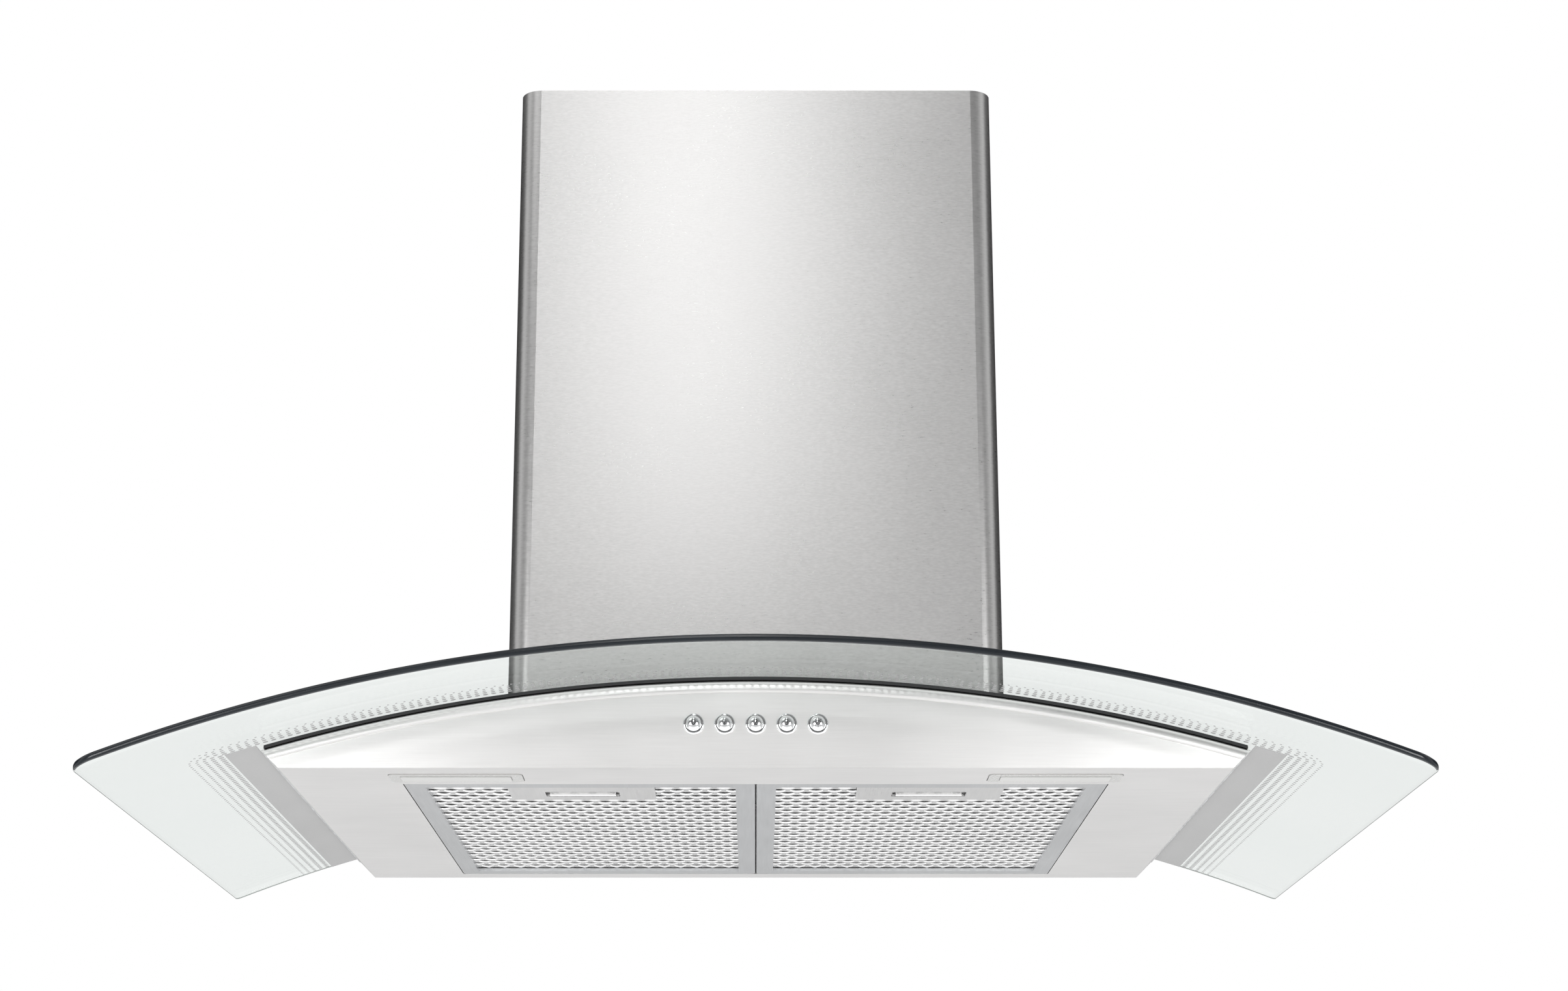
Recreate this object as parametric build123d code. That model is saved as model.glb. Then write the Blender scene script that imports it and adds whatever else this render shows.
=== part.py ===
"""Island range hood: arched glass canopy, two grease filters, five push buttons, telescopic chimney.

Millimetres, +Z up. The origin is the centre of the ceiling plate's top face, so the hood hangs
below it. The control panel faces -Y, and +X is to the right of a person who faces it. Each piece
is one STEP file in parts/.
"""

from build123d import *
import math
import os

os.makedirs("parts", exist_ok=True)

# ---- Driving dimensions -------------------------------------------------------------------------

GLASS_WIDTH, GLASS_DEPTH, GLASS_THICK = 900.0, 600.0, 5.0
GLASS_RADIUS = 1220.0  # of the arch, to the underside of the glass
GLASS_REAR = 246.0
FRONT_CORNER, REAR_CORNER = 16.0, 5.0
DROP = 560.0  # ceiling down to the flat underside of the hood
CROWN = 65.5  # underside of the glass above the underside of the hood, at the centre line

BODY_HALF, BODY_FRONT, BODY_REAR = 331.0, -250.0, 250.0
SHEET = 1.0
GASKET_THICK = 1.5
PANEL_FOLD, PANEL_FLANGE = 6.0, 18.0

FILTER_HALF_SPAN = 252.0  # half the width of the one opening that holds both filters
FILTER_FRONT, FILTER_REAR = -189.0, 229.0
FILTER_THICK, FILTER_BORDER, FILTER_GAP = 9.0, 14.0, 0.6
PAD_THICK, PAD_GRIP = 4.0, 5.0
LATCH_WIDTH, LATCH_DEPTH = 106.0, 52.0
SLOT_WIDTH, SLOT_DEPTH = 54.0, 19.0
LATCH_TRAVEL = 6.0

LAMP_CENTRE_X, LAMP_WIDTH = 211.0, 94.0
LAMP_FRONT, LAMP_REAR = -227.0, -200.0

BUTTON_PITCH, BUTTON_HEIGHT = 21.6, 31.0
BUTTON_RADIUS, BEZEL_RADIUS, BUTTON_PROUD, BUTTON_TRAVEL = 5.6, 7.4, 5.8, 2.5
BUTTON_NAMES = ("off", "low", "medium", "high", "light")

CHIMNEY_WIDTH, CHIMNEY_DEPTH, CHIMNEY_CORNER = 368.0, 290.0, 16.0
CHIMNEY_SHEET, COVER_GAP = 0.8, 2.2
UPPER_LENGTH, TRAVEL = 400.0, 300.0
POST_X, POST_Y, POST_LEG, POST_THICK = 173.0, 134.0, 25.0, 1.5

THROAT_HALF_X, THROAT_HALF_Y = 118.0, 93.0  # air opening up through the glass
STUD_X, STUD_Y, STUD_RADIUS = 140.0, 116.0, 3.0
BOX_HALF_X, BOX_HALF_Y, BOX_HEIGHT = 148.0, 112.0, 262.0
SCROLL_RADIUS, SCROLL_HALF, SCROLL_OFFSET, PLASTIC = 104.0, 80.0, 6.0, 2.0
WHEEL_RADIUS, WHEEL_HALF, BLADE_COUNT = 74.0, 68.0, 36
SHAFT_RADIUS = 4.0
COLLAR_RADIUS, COLLAR_HEIGHT, COLLAR_WALL = 75.0, 60.0, 1.5

# ---- Levels worked out from them ----------------------------------------------------------------

UNDER = -DROP
AXIS_Z = UNDER + CROWN - GLASS_RADIUS  # centre of the arch
PANEL_RADIUS = GLASS_RADIUS - GASKET_THICK  # outside of the steel top
GLASS_TOP = UNDER + CROWN + GLASS_THICK
BASE_Z = GLASS_TOP + 3.5
BASE_THICK = 2.5
BOX_Z = BASE_Z + BASE_THICK
BOX_TOP = BOX_Z + BOX_HEIGHT
SCROLL_Z = BOX_Z + 10 + SCROLL_RADIUS
COLLAR_Z = BOX_TOP + 2.0
UPPER_HALF_X = CHIMNEY_WIDTH / 2 - CHIMNEY_SHEET - COVER_GAP
UPPER_HALF_Y = CHIMNEY_DEPTH / 2 - CHIMNEY_SHEET - COVER_GAP
UPPER_CORNER = CHIMNEY_CORNER - 2.0
SHELL_FRONT = BODY_FRONT + SHEET

# ---- Helpers ------------------------------------------------------------------------------------


def save(name, shape):
    """Writes one piece, or a group of equal ones, as parts/NAME.step."""
    solids = shape.solids()
    kept = solids[0] if len(solids) == 1 else Compound(children=list(solids))
    kept.label = name
    export_step(kept, f"parts/{name}.step")


def span(x0, x1, y0, y1, z0, z1):
    """A box between two corners."""
    centre = Pos((x0 + x1) / 2, (y0 + y1) / 2, (z0 + z1) / 2)
    return centre * Box(x1 - x0, y1 - y0, z1 - z0)


def plan(half_x, half_y, z0, z1, corner, y=0.0, x=0.0):
    """A plate or block with rounded vertical corners, centred on x, y."""
    outline = RectangleRounded(2 * half_x, 2 * half_y, corner)
    return Pos(x, y, z0) * extrude(outline, z1 - z0)


def rod(x, y, z0, z1, radius):
    return Pos(x, y, (z0 + z1) / 2) * Cylinder(radius, z1 - z0)


def rod_x(x0, x1, y, z, radius):
    return Pos((x0 + x1) / 2, y, z) * Rot(0, 90, 0) * Cylinder(radius, x1 - x0)


def rod_y(y0, y1, x, z, radius):
    return Pos(x, (y0 + y1) / 2, z) * Rot(90, 0, 0) * Cylinder(radius, y1 - y0)


def arch_z(x, radius):
    """Height of the arch of that radius, at x."""
    return AXIS_Z + math.sqrt(radius**2 - x**2)


def run_along_y(outline, y0, y1):
    """Extrudes a closed outline of edges, drawn at Y = y0, back to y1."""
    return extrude(Face(Wire(outline)), y1 - y0, dir=(0, 1, 0))


def arched_block(half_low, z_low, half_high, radius, y0, y1):
    """Flat below, arched above, with sides that lean out from half_low to half_high."""
    z_high = arch_z(half_high, radius)
    low_left, low_right = (-half_low, y0, z_low), (half_low, y0, z_low)
    high_left, high_right = (-half_high, y0, z_high), (half_high, y0, z_high)
    crown = (0, y0, AXIS_Z + radius)
    outline = [
        Edge.make_line(low_left, low_right),
        Edge.make_line(low_right, high_right),
        Edge.make_three_point_arc(high_right, crown, high_left),
        Edge.make_line(high_left, low_left),
    ]
    return run_along_y(outline, y0, y1)


def arched_layer(half_x, inner, outer, y0, y1):
    """A curved sheet between two radii of the arch, cut off square to itself at its ends."""
    turn = math.asin(half_x / outer)

    def at(radius, angle):
        return (radius * math.sin(angle), y0, AXIS_Z + radius * math.cos(angle))

    outline = [
        Edge.make_three_point_arc(at(outer, -turn), at(outer, 0), at(outer, turn)),
        Edge.make_line(at(outer, turn), at(inner, turn)),
        Edge.make_three_point_arc(at(inner, turn), at(inner, 0), at(inner, -turn)),
        Edge.make_line(at(inner, -turn), at(outer, -turn)),
    ]
    return run_along_y(outline, y0, y1)


def below_arch(radius):
    """Everything inside the arch's cylinder."""
    return Pos(0, 0, AXIS_Z) * Rot(90, 0, 0) * Cylinder(radius, 3 * GLASS_DEPTH)


def four(half_x, half_y):
    return [(x, y) for x in (-half_x, half_x) for y in (-half_y, half_y)]


def lean_half(height):
    """Half width of the body, whose sides lean out at 45 degrees, at a height above the underside."""
    return BODY_HALF + height


# ---- Canopy: steel body and glass ---------------------------------------------------------------

top_side = 14.0
while UNDER + top_side < arch_z(lean_half(top_side), PANEL_RADIUS):
    top_side += 0.01  # the side leans out until it meets the arch
BODY_HALF_TOP = lean_half(top_side)


def make_hood_shell():
    roof = PANEL_RADIUS - SHEET
    half_top = BODY_HALF_TOP - SHEET
    outside = arched_block(BODY_HALF, UNDER, half_top, roof - 0.1, SHELL_FRONT, BODY_REAR)
    inset = SHEET * 1.4
    inside = arched_block(
        BODY_HALF - SHEET / 2,
        UNDER + SHEET,
        half_top - inset,
        roof - 0.1 - SHEET,
        SHELL_FRONT - 1,
        BODY_REAR - SHEET,
    )
    flange = 14.0
    open_top = span(
        -half_top + flange,
        half_top - flange,
        SHELL_FRONT - 1,
        BODY_REAR - flange,
        UNDER + 20,
        UNDER + CROWN,
    )
    shell = outside - inside - open_top
    shell -= arched_layer(
        BODY_HALF_TOP, roof - PANEL_FOLD, PANEL_RADIUS, SHELL_FRONT - 1, SHELL_FRONT + PANEL_FOLD
    )
    shell -= span(-FILTER_HALF_SPAN, FILTER_HALF_SPAN, FILTER_FRONT, FILTER_REAR, UNDER - 1, UNDER + 3)
    for x in lamp_places():
        shell -= plan(
            LAMP_WIDTH / 2 + 0.4,
            (LAMP_REAR - LAMP_FRONT) / 2 + 0.4,
            UNDER - 1,
            UNDER + 3,
            4.0,
            (LAMP_FRONT + LAMP_REAR) / 2,
            x,
        )
    return shell


def make_control_panel():
    """Flat face with a rolled top edge and a flange that lies under the glass."""
    back = BODY_FRONT + PANEL_FLANGE
    block = arched_block(BODY_HALF, UNDER, BODY_HALF_TOP, PANEL_RADIUS, BODY_FRONT, back)
    rolled = [
        e
        for e in block.edges().filter_by(GeomType.CIRCLE)
        if abs(e.center().Y - BODY_FRONT) < 0.1
    ]
    block = fillet(rolled, PANEL_FOLD)
    hollow = arched_block(
        BODY_HALF + 1.5 * SHEET,
        UNDER - 2 * SHEET,
        BODY_HALF_TOP + 4,
        PANEL_RADIUS - SHEET,
        BODY_FRONT + SHEET,
        back + 1,
    )
    rolled = [
        e
        for e in hollow.edges().filter_by(GeomType.CIRCLE)
        if abs(e.center().Y - BODY_FRONT - SHEET) < 0.1
    ]
    panel = block - fillet(rolled, PANEL_FOLD - SHEET)
    for x in button_places():
        panel -= rod_y(BODY_FRONT - 1, BODY_FRONT + 5, x, UNDER + BUTTON_HEIGHT, BEZEL_RADIUS - 0.9)
    return panel


def make_top_panel():
    y0 = BODY_FRONT + PANEL_FLANGE + 0.3
    sheet = arched_layer(BODY_HALF_TOP, PANEL_RADIUS - SHEET, PANEL_RADIUS, y0, BODY_REAR)
    sheet -= plan(THROAT_HALF_X + 1, THROAT_HALF_Y + 1, UNDER + 20, GLASS_TOP, 6)
    for x, y in four(STUD_X, STUD_Y):
        sheet -= rod(x, y, UNDER + 20, GLASS_TOP, STUD_RADIUS + 0.2)
    return sheet


def make_gasket():
    width = 12.0
    ring = arched_layer(BODY_HALF_TOP - 3, PANEL_RADIUS, GLASS_RADIUS, BODY_FRONT + 4, GLASS_REAR - 1)
    inner = span(
        -BODY_HALF_TOP + 3 + width,
        BODY_HALF_TOP - 3 - width,
        BODY_FRONT + 4 + width,
        GLASS_REAR - 1 - width,
        UNDER,
        GLASS_TOP,
    )
    return ring - inner


def make_glass():
    """Bent sheet with rounded corners, open for the throat and the studs."""
    middle = GLASS_REAR - GLASS_DEPTH / 2
    outline = Pos(0, middle) * Rectangle(GLASS_WIDTH, GLASS_DEPTH)
    outline = fillet(outline.vertices().group_by(Axis.Y)[0], FRONT_CORNER)
    outline = fillet(outline.vertices().group_by(Axis.Y)[-1], REAR_CORNER)
    block = Pos(0, 0, UNDER - 60) * extrude(outline, CROWN + 80)
    wide, outer = GLASS_WIDTH / 2 + 40, GLASS_RADIUS + GLASS_THICK
    y0, y1 = GLASS_REAR - GLASS_DEPTH - 10, GLASS_REAR + 10
    sheet = block & arched_layer(wide, GLASS_RADIUS, outer, y0, y1)
    sheet -= plan(THROAT_HALF_X + 7, THROAT_HALF_Y + 7, UNDER + 20, GLASS_TOP + 5, 15)
    for x, y in four(STUD_X, STUD_Y):
        sheet -= rod(x, y, UNDER + 20, GLASS_TOP + 5, STUD_RADIUS + 2)
    return sheet


def make_grommets():
    """Rubber rings that keep the studs off the glass."""
    layer = arched_layer(GLASS_WIDTH / 3, GLASS_RADIUS, GLASS_RADIUS + GLASS_THICK, -200, 200)
    rings = []
    for x, y in four(STUD_X, STUD_Y):
        ring = rod(x, y, UNDER, GLASS_TOP + 5, STUD_RADIUS + 2)
        ring -= rod(x, y, UNDER, GLASS_TOP + 5, STUD_RADIUS)
        rings.append(ring & layer)
    return Compound(children=rings)


def make_spacers():
    """Sleeves that carry the base plate above the arched glass."""
    return Compound(
        children=[
            rod(x, y, GLASS_TOP - 20, BASE_Z, STUD_RADIUS + 4)
            - rod(x, y, GLASS_TOP - 20, BASE_Z, STUD_RADIUS)
            - below_arch(GLASS_RADIUS + GLASS_THICK)
            for x, y in four(STUD_X, STUD_Y)
        ]
    )


def make_studs():
    """Stud, its nut above the base plate and its head under the steel top."""
    low = arch_z(STUD_X + STUD_RADIUS + 2.5, PANEL_RADIUS - SHEET)
    pieces = []
    for x, y in four(STUD_X, STUD_Y):
        head = Pos(x, y, low - 4) * extrude(RegularPolygon(STUD_RADIUS + 2, 6), 4)
        nut = Pos(x, y, BOX_Z) * extrude(RegularPolygon(STUD_RADIUS + 2, 6), 5)
        pieces.append(head + rod(x, y, low - 1, BOX_Z + 8, STUD_RADIUS) + nut)
    return Compound(children=pieces)


# ---- Controls -----------------------------------------------------------------------------------


def button_places():
    middle = (len(BUTTON_NAMES) - 1) / 2
    return [(i - middle) * BUTTON_PITCH for i in range(len(BUTTON_NAMES))]


BUTTON_Z = UNDER + BUTTON_HEIGHT
BLOCK_FRONT, BLOCK_BACK = BODY_FRONT + 9, BODY_FRONT + 34
STEM_RADIUS, STEM_LENGTH = 4.0, 8.0


def make_button(x):
    """A domed cap with a stem that runs in the switch block."""
    face = BODY_FRONT - BUTTON_PROUD
    cap_back = BLOCK_FRONT - BUTTON_TRAVEL - 1.0
    cap = rod_y(face, cap_back, x, BUTTON_Z, BUTTON_RADIUS)
    front = [e for e in cap.edges().filter_by(GeomType.CIRCLE) if abs(e.center().Y - face) < 0.1]
    cap = fillet(front, 1.2)
    return cap + rod_y(cap_back - 0.5, BLOCK_FRONT + STEM_LENGTH, x, BUTTON_Z, STEM_RADIUS)


def make_bezel(x):
    """A ring on the panel with a sleeve through its hole."""
    lip = rod_y(BODY_FRONT - 1.6, BODY_FRONT, x, BUTTON_Z, BEZEL_RADIUS)
    front = [e for e in lip.edges().filter_by(GeomType.CIRCLE) if e.center().Y < BODY_FRONT - 1]
    lip = fillet(front, 1.0)
    sleeve = rod_y(BODY_FRONT - 0.2, BODY_FRONT + 5, x, BUTTON_Z, BEZEL_RADIUS - 1.0)
    return lip + sleeve - rod_y(BODY_FRONT - 3, BODY_FRONT + 6, x, BUTTON_Z, BUTTON_RADIUS + 0.2)


def make_switch_block():
    half = 2.5 * BUTTON_PITCH
    block = span(-half, half, BLOCK_FRONT, BLOCK_BACK, BUTTON_Z - 9, BUTTON_Z + 9)
    for x in button_places():
        depth = STEM_LENGTH + BUTTON_TRAVEL + 1
        block -= rod_y(BLOCK_FRONT - 1, BLOCK_FRONT + depth, x, BUTTON_Z, STEM_RADIUS + 0.1)
    return block


def make_switch_bracket():
    """Carries the switch block off the hood's floor."""
    half = 2.5 * BUTTON_PITCH + 12
    foot = span(-half, half, BLOCK_FRONT, BLOCK_BACK, UNDER + SHEET, UNDER + 2 * SHEET)
    back = span(-half, half, BLOCK_BACK, BLOCK_BACK + SHEET, UNDER + SHEET, BUTTON_Z + 9)
    return foot + back


# ---- Lamps --------------------------------------------------------------------------------------

LAMP_MIDDLE = (LAMP_FRONT + LAMP_REAR) / 2
LAMP_HALF_DEPTH = (LAMP_REAR - LAMP_FRONT) / 2
LENS_HALF_X, LENS_HALF_Y = 39.0, 8.0
LAMP_ROOF = UNDER + 24.0
CHIP_COUNT, CHIP_PITCH, CHIP_HALF = 6, 12.0, 1.8


def lamp_places():
    return (-LAMP_CENTRE_X, LAMP_CENTRE_X)


def make_lamp_housings():
    """An open steel box over each lamp opening."""
    half_x, half_y = LAMP_WIDTH / 2 + 4, LAMP_HALF_DEPTH + 4
    low = UNDER + SHEET
    boxes = []
    for x in lamp_places():
        outside = plan(half_x, half_y, low, LAMP_ROOF, 3, LAMP_MIDDLE, x)
        boxes.append(outside - plan(half_x - 1, half_y - 1, low - 1, LAMP_ROOF - 1, 2, LAMP_MIDDLE, x))
    return Compound(children=boxes)


def make_lamp_covers():
    """Snap-in frames round the lenses, each with two spring tabs that grip the edge of its opening."""
    covers = []
    for x in lamp_places():
        frame = plan(LAMP_WIDTH / 2, LAMP_HALF_DEPTH, UNDER - 0.6, UNDER + 1.2, 4.0, LAMP_MIDDLE, x)
        frame -= plan(LENS_HALF_X, LENS_HALF_Y, UNDER - 2, UNDER + 2, 1.5, LAMP_MIDDLE, x)
        for side in (-1, 1):
            edge = x + side * LAMP_WIDTH / 2
            leg = edge - side * 1.2, edge - side * 0.2
            hook = edge - side * 1.2, edge + side * 1.6
            y0, y1 = LAMP_MIDDLE - 5, LAMP_MIDDLE + 5
            frame += span(min(leg), max(leg), y0, y1, UNDER, UNDER + 7)
            frame += span(min(hook), max(hook), y0, y1, UNDER + SHEET + 0.3, UNDER + 2.7)
        covers.append(frame)
    return Compound(children=covers)


def make_lamp_lenses():
    """Frosted lenses with a step that bears on the frames' upper faces."""
    lenses = []
    for x in lamp_places():
        pane = plan(LENS_HALF_X - 0.2, LENS_HALF_Y - 0.2, UNDER - 1.4, UNDER + 1.4, 1.4, LAMP_MIDDLE, x)
        step = plan(LENS_HALF_X + 2, LENS_HALF_Y + 1.5, UNDER + 1.2, UNDER + 2.4, 1.5, LAMP_MIDDLE, x)
        lenses.append(pane + step)
    return Compound(children=lenses)


def make_lamp_boards():
    """Circuit boards with a row of light-emitting chips, under the housings' roofs."""
    top = LAMP_ROOF - 1
    boards = []
    for x in lamp_places():
        board = span(x - 38, x + 38, LAMP_MIDDLE - 7, LAMP_MIDDLE + 7, top - 1.6, top)
        for i in range(CHIP_COUNT):
            place = x + (i - (CHIP_COUNT - 1) / 2) * CHIP_PITCH
            y0, y1 = LAMP_MIDDLE - CHIP_HALF, LAMP_MIDDLE + CHIP_HALF
            board += span(place - CHIP_HALF, place + CHIP_HALF, y0, y1, top - 2.6, top - 1.5)
        boards.append(board)
    return Compound(children=boards)


# ---- Grease filters -----------------------------------------------------------------------------

FILTER_HINGE_Y, FILTER_HINGE_Z = FILTER_REAR - 2.0, UNDER + 0.8
LATCH_FRONT = FILTER_FRONT + FILTER_GAP + FILTER_BORDER - 3
LATCH_MIDDLE = LATCH_FRONT + 28.0


def filter_sides(side):
    """Left and right edges of the filter on that side, -1 or 1."""
    near, far = side * FILTER_GAP, side * (FILTER_HALF_SPAN - FILTER_GAP)
    return min(near, far), max(near, far)


def make_filter_frame(side):
    """Channel-section frame with two hooks that rest on the hood's rear edge."""
    x0, x1 = filter_sides(side)
    y0, y1 = FILTER_FRONT + FILTER_GAP, FILTER_REAR - FILTER_GAP
    low, high = UNDER + 0.2, UNDER + 0.2 + FILTER_THICK
    b, grip = FILTER_BORDER, FILTER_BORDER - PAD_GRIP
    frame = span(x0, x1, y0, y1, low, high)
    edges = frame.edges().filter_by(Axis.Z)
    frame = fillet(edges, 2.0)
    frame -= span(x0 + b, x1 - b, y0 + b, y1 - b, low - 1, high + 1)
    mid = (low + high) / 2
    frame -= span(x0 + grip, x1 - grip, y0 + grip, y1 - grip, mid - PAD_THICK / 2, mid + PAD_THICK / 2)
    for x in (x0 + 50, x1 - 50):
        frame += span(x - 12, x + 12, y1 - 1, y1 + 8, UNDER + SHEET + 0.4, UNDER + SHEET + 1.6)
    middle = (x0 + x1) / 2
    return frame - span(
        middle - 7.2, middle + 7.2, y0 - 1, y0 + b + 1, mid - 1.2, mid + PAD_THICK / 2
    )


def make_filter_pad(side):
    """The stack of expanded aluminium sheets, as one slab, notched where the latch sits."""
    x0, x1 = filter_sides(side)
    grip = FILTER_BORDER - PAD_GRIP
    y0, y1 = FILTER_FRONT + FILTER_GAP + grip, FILTER_REAR - FILTER_GAP - grip
    mid = UNDER + 0.2 + FILTER_THICK / 2
    middle = (x0 + x1) / 2
    pad = span(x0 + grip, x1 - grip, y0, y1, mid - PAD_THICK / 2, mid + PAD_THICK / 2)
    return pad - span(
        middle - LATCH_WIDTH / 2 + 8,
        middle + LATCH_WIDTH / 2 - 8,
        y0 - 1,
        LATCH_FRONT + LATCH_DEPTH - 6,
        mid - PAD_THICK / 2 - 1,
        mid + PAD_THICK / 2 + 1,
    )


def make_latch_plate(side):
    """Pressed plate over the mesh with a finger slot and rails for the slide."""
    x0, x1 = filter_sides(side)
    middle = (x0 + x1) / 2
    low = UNDER + 0.2
    half = LATCH_WIDTH / 2
    y1 = LATCH_FRONT + LATCH_DEPTH
    y0 = FILTER_FRONT + FILTER_GAP + FILTER_BORDER
    plate = span(middle - half, middle + half, y0, y1, low, low + 0.9)
    plate = fillet(plate.edges().filter_by(Axis.Z).group_by(Axis.Y)[-1], 3.0)
    plate -= plan(
        SLOT_WIDTH / 2, SLOT_DEPTH / 2, low - 1, low + 2, 3.0, LATCH_MIDDLE + SLOT_DEPTH / 2 - 8, middle
    )
    for x in (middle - SLOT_WIDTH / 2 - 4, middle + SLOT_WIDTH / 2 + 2):
        plate += span(x, x + 2, y0 + 2, y1 - 7, low + 0.5, low + 5)
    plate += span(middle - half + 9, middle + half - 9, y1 - 8.4, y1 - 7, low + 0.5, low + 5)
    return plate


def make_latch_slide(side):
    """Finger lip, sliding plate and tongue. It slides back to free the filter."""
    x0, x1 = filter_sides(side)
    middle = (x0 + x1) / 2
    low = UNDER + 0.2
    front = FILTER_FRONT + FILTER_GAP + 0.4
    mid = low + FILTER_THICK / 2
    half = SLOT_WIDTH / 2
    y_lip = LATCH_MIDDLE + SLOT_DEPTH / 2 - 8
    wide = half + 1.6
    carriage = span(middle - wide, middle + wide, LATCH_FRONT + 5, y_lip + 4, mid - 0.9, mid + 0.7)
    tongue = span(middle - 6.8, middle + 6.8, front, LATCH_FRONT + 6, mid - 0.9, mid + 1.6)
    lip = span(middle - half + 3, middle + half - 3, y_lip + 1.2, y_lip + 2.6, low - 0.2, mid)
    bar = rod_x(middle - half + 3, middle + half - 3, y_lip + 1.9, low + 0.4, 1.3)
    return carriage + tongue + lip + bar


def make_latch_spring(side):
    """A bowed leaf spring that pushes the slide forwards."""
    x0, x1 = filter_sides(side)
    middle = (x0 + x1) / 2
    y_slide = LATCH_MIDDLE + SLOT_DEPTH / 2 - 8 + 4
    y_stop = LATCH_FRONT + LATCH_DEPTH - 8.4
    z0, z1 = UNDER + 3.0, UNDER + 6.0
    half = SLOT_WIDTH / 2 - 4
    bow = y_stop - y_slide - 0.8

    def arc(grow):
        return (
            (middle - half, y_stop - grow, z0),
            (middle, y_stop - bow - grow, z0),
            (middle + half, y_stop - grow, z0),
        )

    near, far = arc(0.0), arc(0.5)
    outline = [
        Edge.make_three_point_arc(*near),
        Edge.make_line(near[2], far[2]),
        Edge.make_three_point_arc(far[2], far[1], far[0]),
        Edge.make_line(far[0], near[0]),
    ]
    return extrude(Face(Wire(outline)), z1 - z0, dir=(0, 0, 1))


# ---- Blower -------------------------------------------------------------------------------------


def make_base_plate():
    plate = plan(POST_X + 2, POST_Y + 2, BASE_Z, BOX_Z, 6)
    plate -= plan(THROAT_HALF_X + 1, THROAT_HALF_Y + 1, BASE_Z - 1, BOX_Z + 1, 6)
    for x, y in four(STUD_X, STUD_Y):
        plate -= rod(x, y, BASE_Z - 1, BOX_Z + 1, STUD_RADIUS + 0.2)
    return plate


def make_throat():
    """Rectangular duct from the hood up through the glass."""
    low = arch_z(THROAT_HALF_X, PANEL_RADIUS - SHEET) - 4
    duct = plan(THROAT_HALF_X, THROAT_HALF_Y, low, BOX_Z, 5)
    flange = plan(THROAT_HALF_X + 9, THROAT_HALF_Y + 9, BOX_Z, BOX_Z + SHEET, 6)
    return duct + flange - plan(THROAT_HALF_X - SHEET, THROAT_HALF_Y - SHEET, low - 1, BOX_Z + 3, 4)


def make_blower_box():
    box = plan(BOX_HALF_X, BOX_HALF_Y, BOX_Z, BOX_TOP, 3)
    box -= plan(BOX_HALF_X - 1, BOX_HALF_Y - 1, BOX_Z - 1, BOX_TOP - 1.5, 2)
    for x, y in four(STUD_X, STUD_Y):
        box -= rod(x, y, BOX_Z - 1, BOX_Z + 12, STUD_RADIUS + 4)
    return box - rod(0, 0, BOX_TOP - 3, BOX_TOP + 1, COLLAR_RADIUS - 4)


OUTLET_Y0, OUTLET_Y1 = -66.0, 66.0


def scroll_outline(shrink, half):
    """The snail shape of the blower, less a wall of that thickness, and as wide as 2 x half."""
    round_part = rod_x(-half, half, SCROLL_OFFSET, SCROLL_Z, SCROLL_RADIUS - shrink)
    neck = span(-half, half, OUTLET_Y0 + shrink, OUTLET_Y1 - shrink, SCROLL_Z, BOX_TOP - 1.5)
    return round_part + neck


def make_scroll_half(side):
    housing = scroll_outline(0, SCROLL_HALF) - scroll_outline(PLASTIC, SCROLL_HALF - PLASTIC)
    housing -= span(-60, 60, OUTLET_Y0 + 8, OUTLET_Y1 - 8, BOX_TOP - 10, BOX_TOP)
    housing -= rod_x(-SCROLL_HALF - 1, SCROLL_HALF + 1, SCROLL_OFFSET, SCROLL_Z, 58)
    far = side * (SCROLL_HALF + 5)
    return housing & span(min(0, far), max(0, far), -200, 200, BOX_Z, BOX_TOP)


def make_inlet_ring(side):
    """Bellmouth round the blower's side inlet."""
    face = side * SCROLL_HALF
    ring = rod_x(min(face, face + side * 3), max(face, face + side * 3), SCROLL_OFFSET, SCROLL_Z, 63)
    ring += rod_x(min(face, face - side * 6), max(face, face - side * 6), SCROLL_OFFSET, SCROLL_Z, 57.9)
    return ring - rod_x(-SCROLL_HALF - 9, SCROLL_HALF + 9, SCROLL_OFFSET, SCROLL_Z, 55.5)


def make_impeller():
    """Double-inlet fan wheel: a hub on a middle disc, and blades between two end rings."""
    parts = [rod_x(-1, 1, 0, 0, WHEEL_RADIUS)]
    for end in (-WHEEL_HALF, WHEEL_HALF - 2):
        ring = rod_x(end, end + 2, 0, 0, WHEEL_RADIUS)
        parts.append(ring - rod_x(end - 1, end + 3, 0, 0, WHEEL_RADIUS - 8))
    parts.append(rod_x(-14, 14, 0, 0, 11))
    blade = Rot(90 - 58, 0, 0) * Box(2 * WHEEL_HALF - 2, 1.0, 12.5)
    for i in range(BLADE_COUNT):
        turn = Rot(i * 360 / BLADE_COUNT, 0, 0)
        parts.append(turn * Pos(0, 0, WHEEL_RADIUS - 6.5) * blade)
    wheel = parts[0].fuse(*parts[1:])
    wheel = wheel - rod_x(-20, 20, 0, 0, SHAFT_RADIUS)
    return Pos(0, SCROLL_OFFSET, SCROLL_Z) * wheel


MOTOR_X0, MOTOR_X1, MOTOR_RADIUS = 18.0, 92.0, 40.0
BUSH_LENGTH, BUSH_BORE, BUSH_CIRCLE, BRACKET_THICK = 3.2, 2.6, 70.0, 2.0


def make_motor():
    body = rod_x(MOTOR_X0, MOTOR_X1, SCROLL_OFFSET, SCROLL_Z, MOTOR_RADIUS)
    body = fillet(body.edges().filter_by(GeomType.CIRCLE), 4)
    body += rod_x(MOTOR_X0 - 3, MOTOR_X0 + 1, SCROLL_OFFSET, SCROLL_Z, 10)
    return body - rod_x(MOTOR_X0 - 5, MOTOR_X1 - 8, SCROLL_OFFSET, SCROLL_Z, SHAFT_RADIUS + 0.06)


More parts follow.
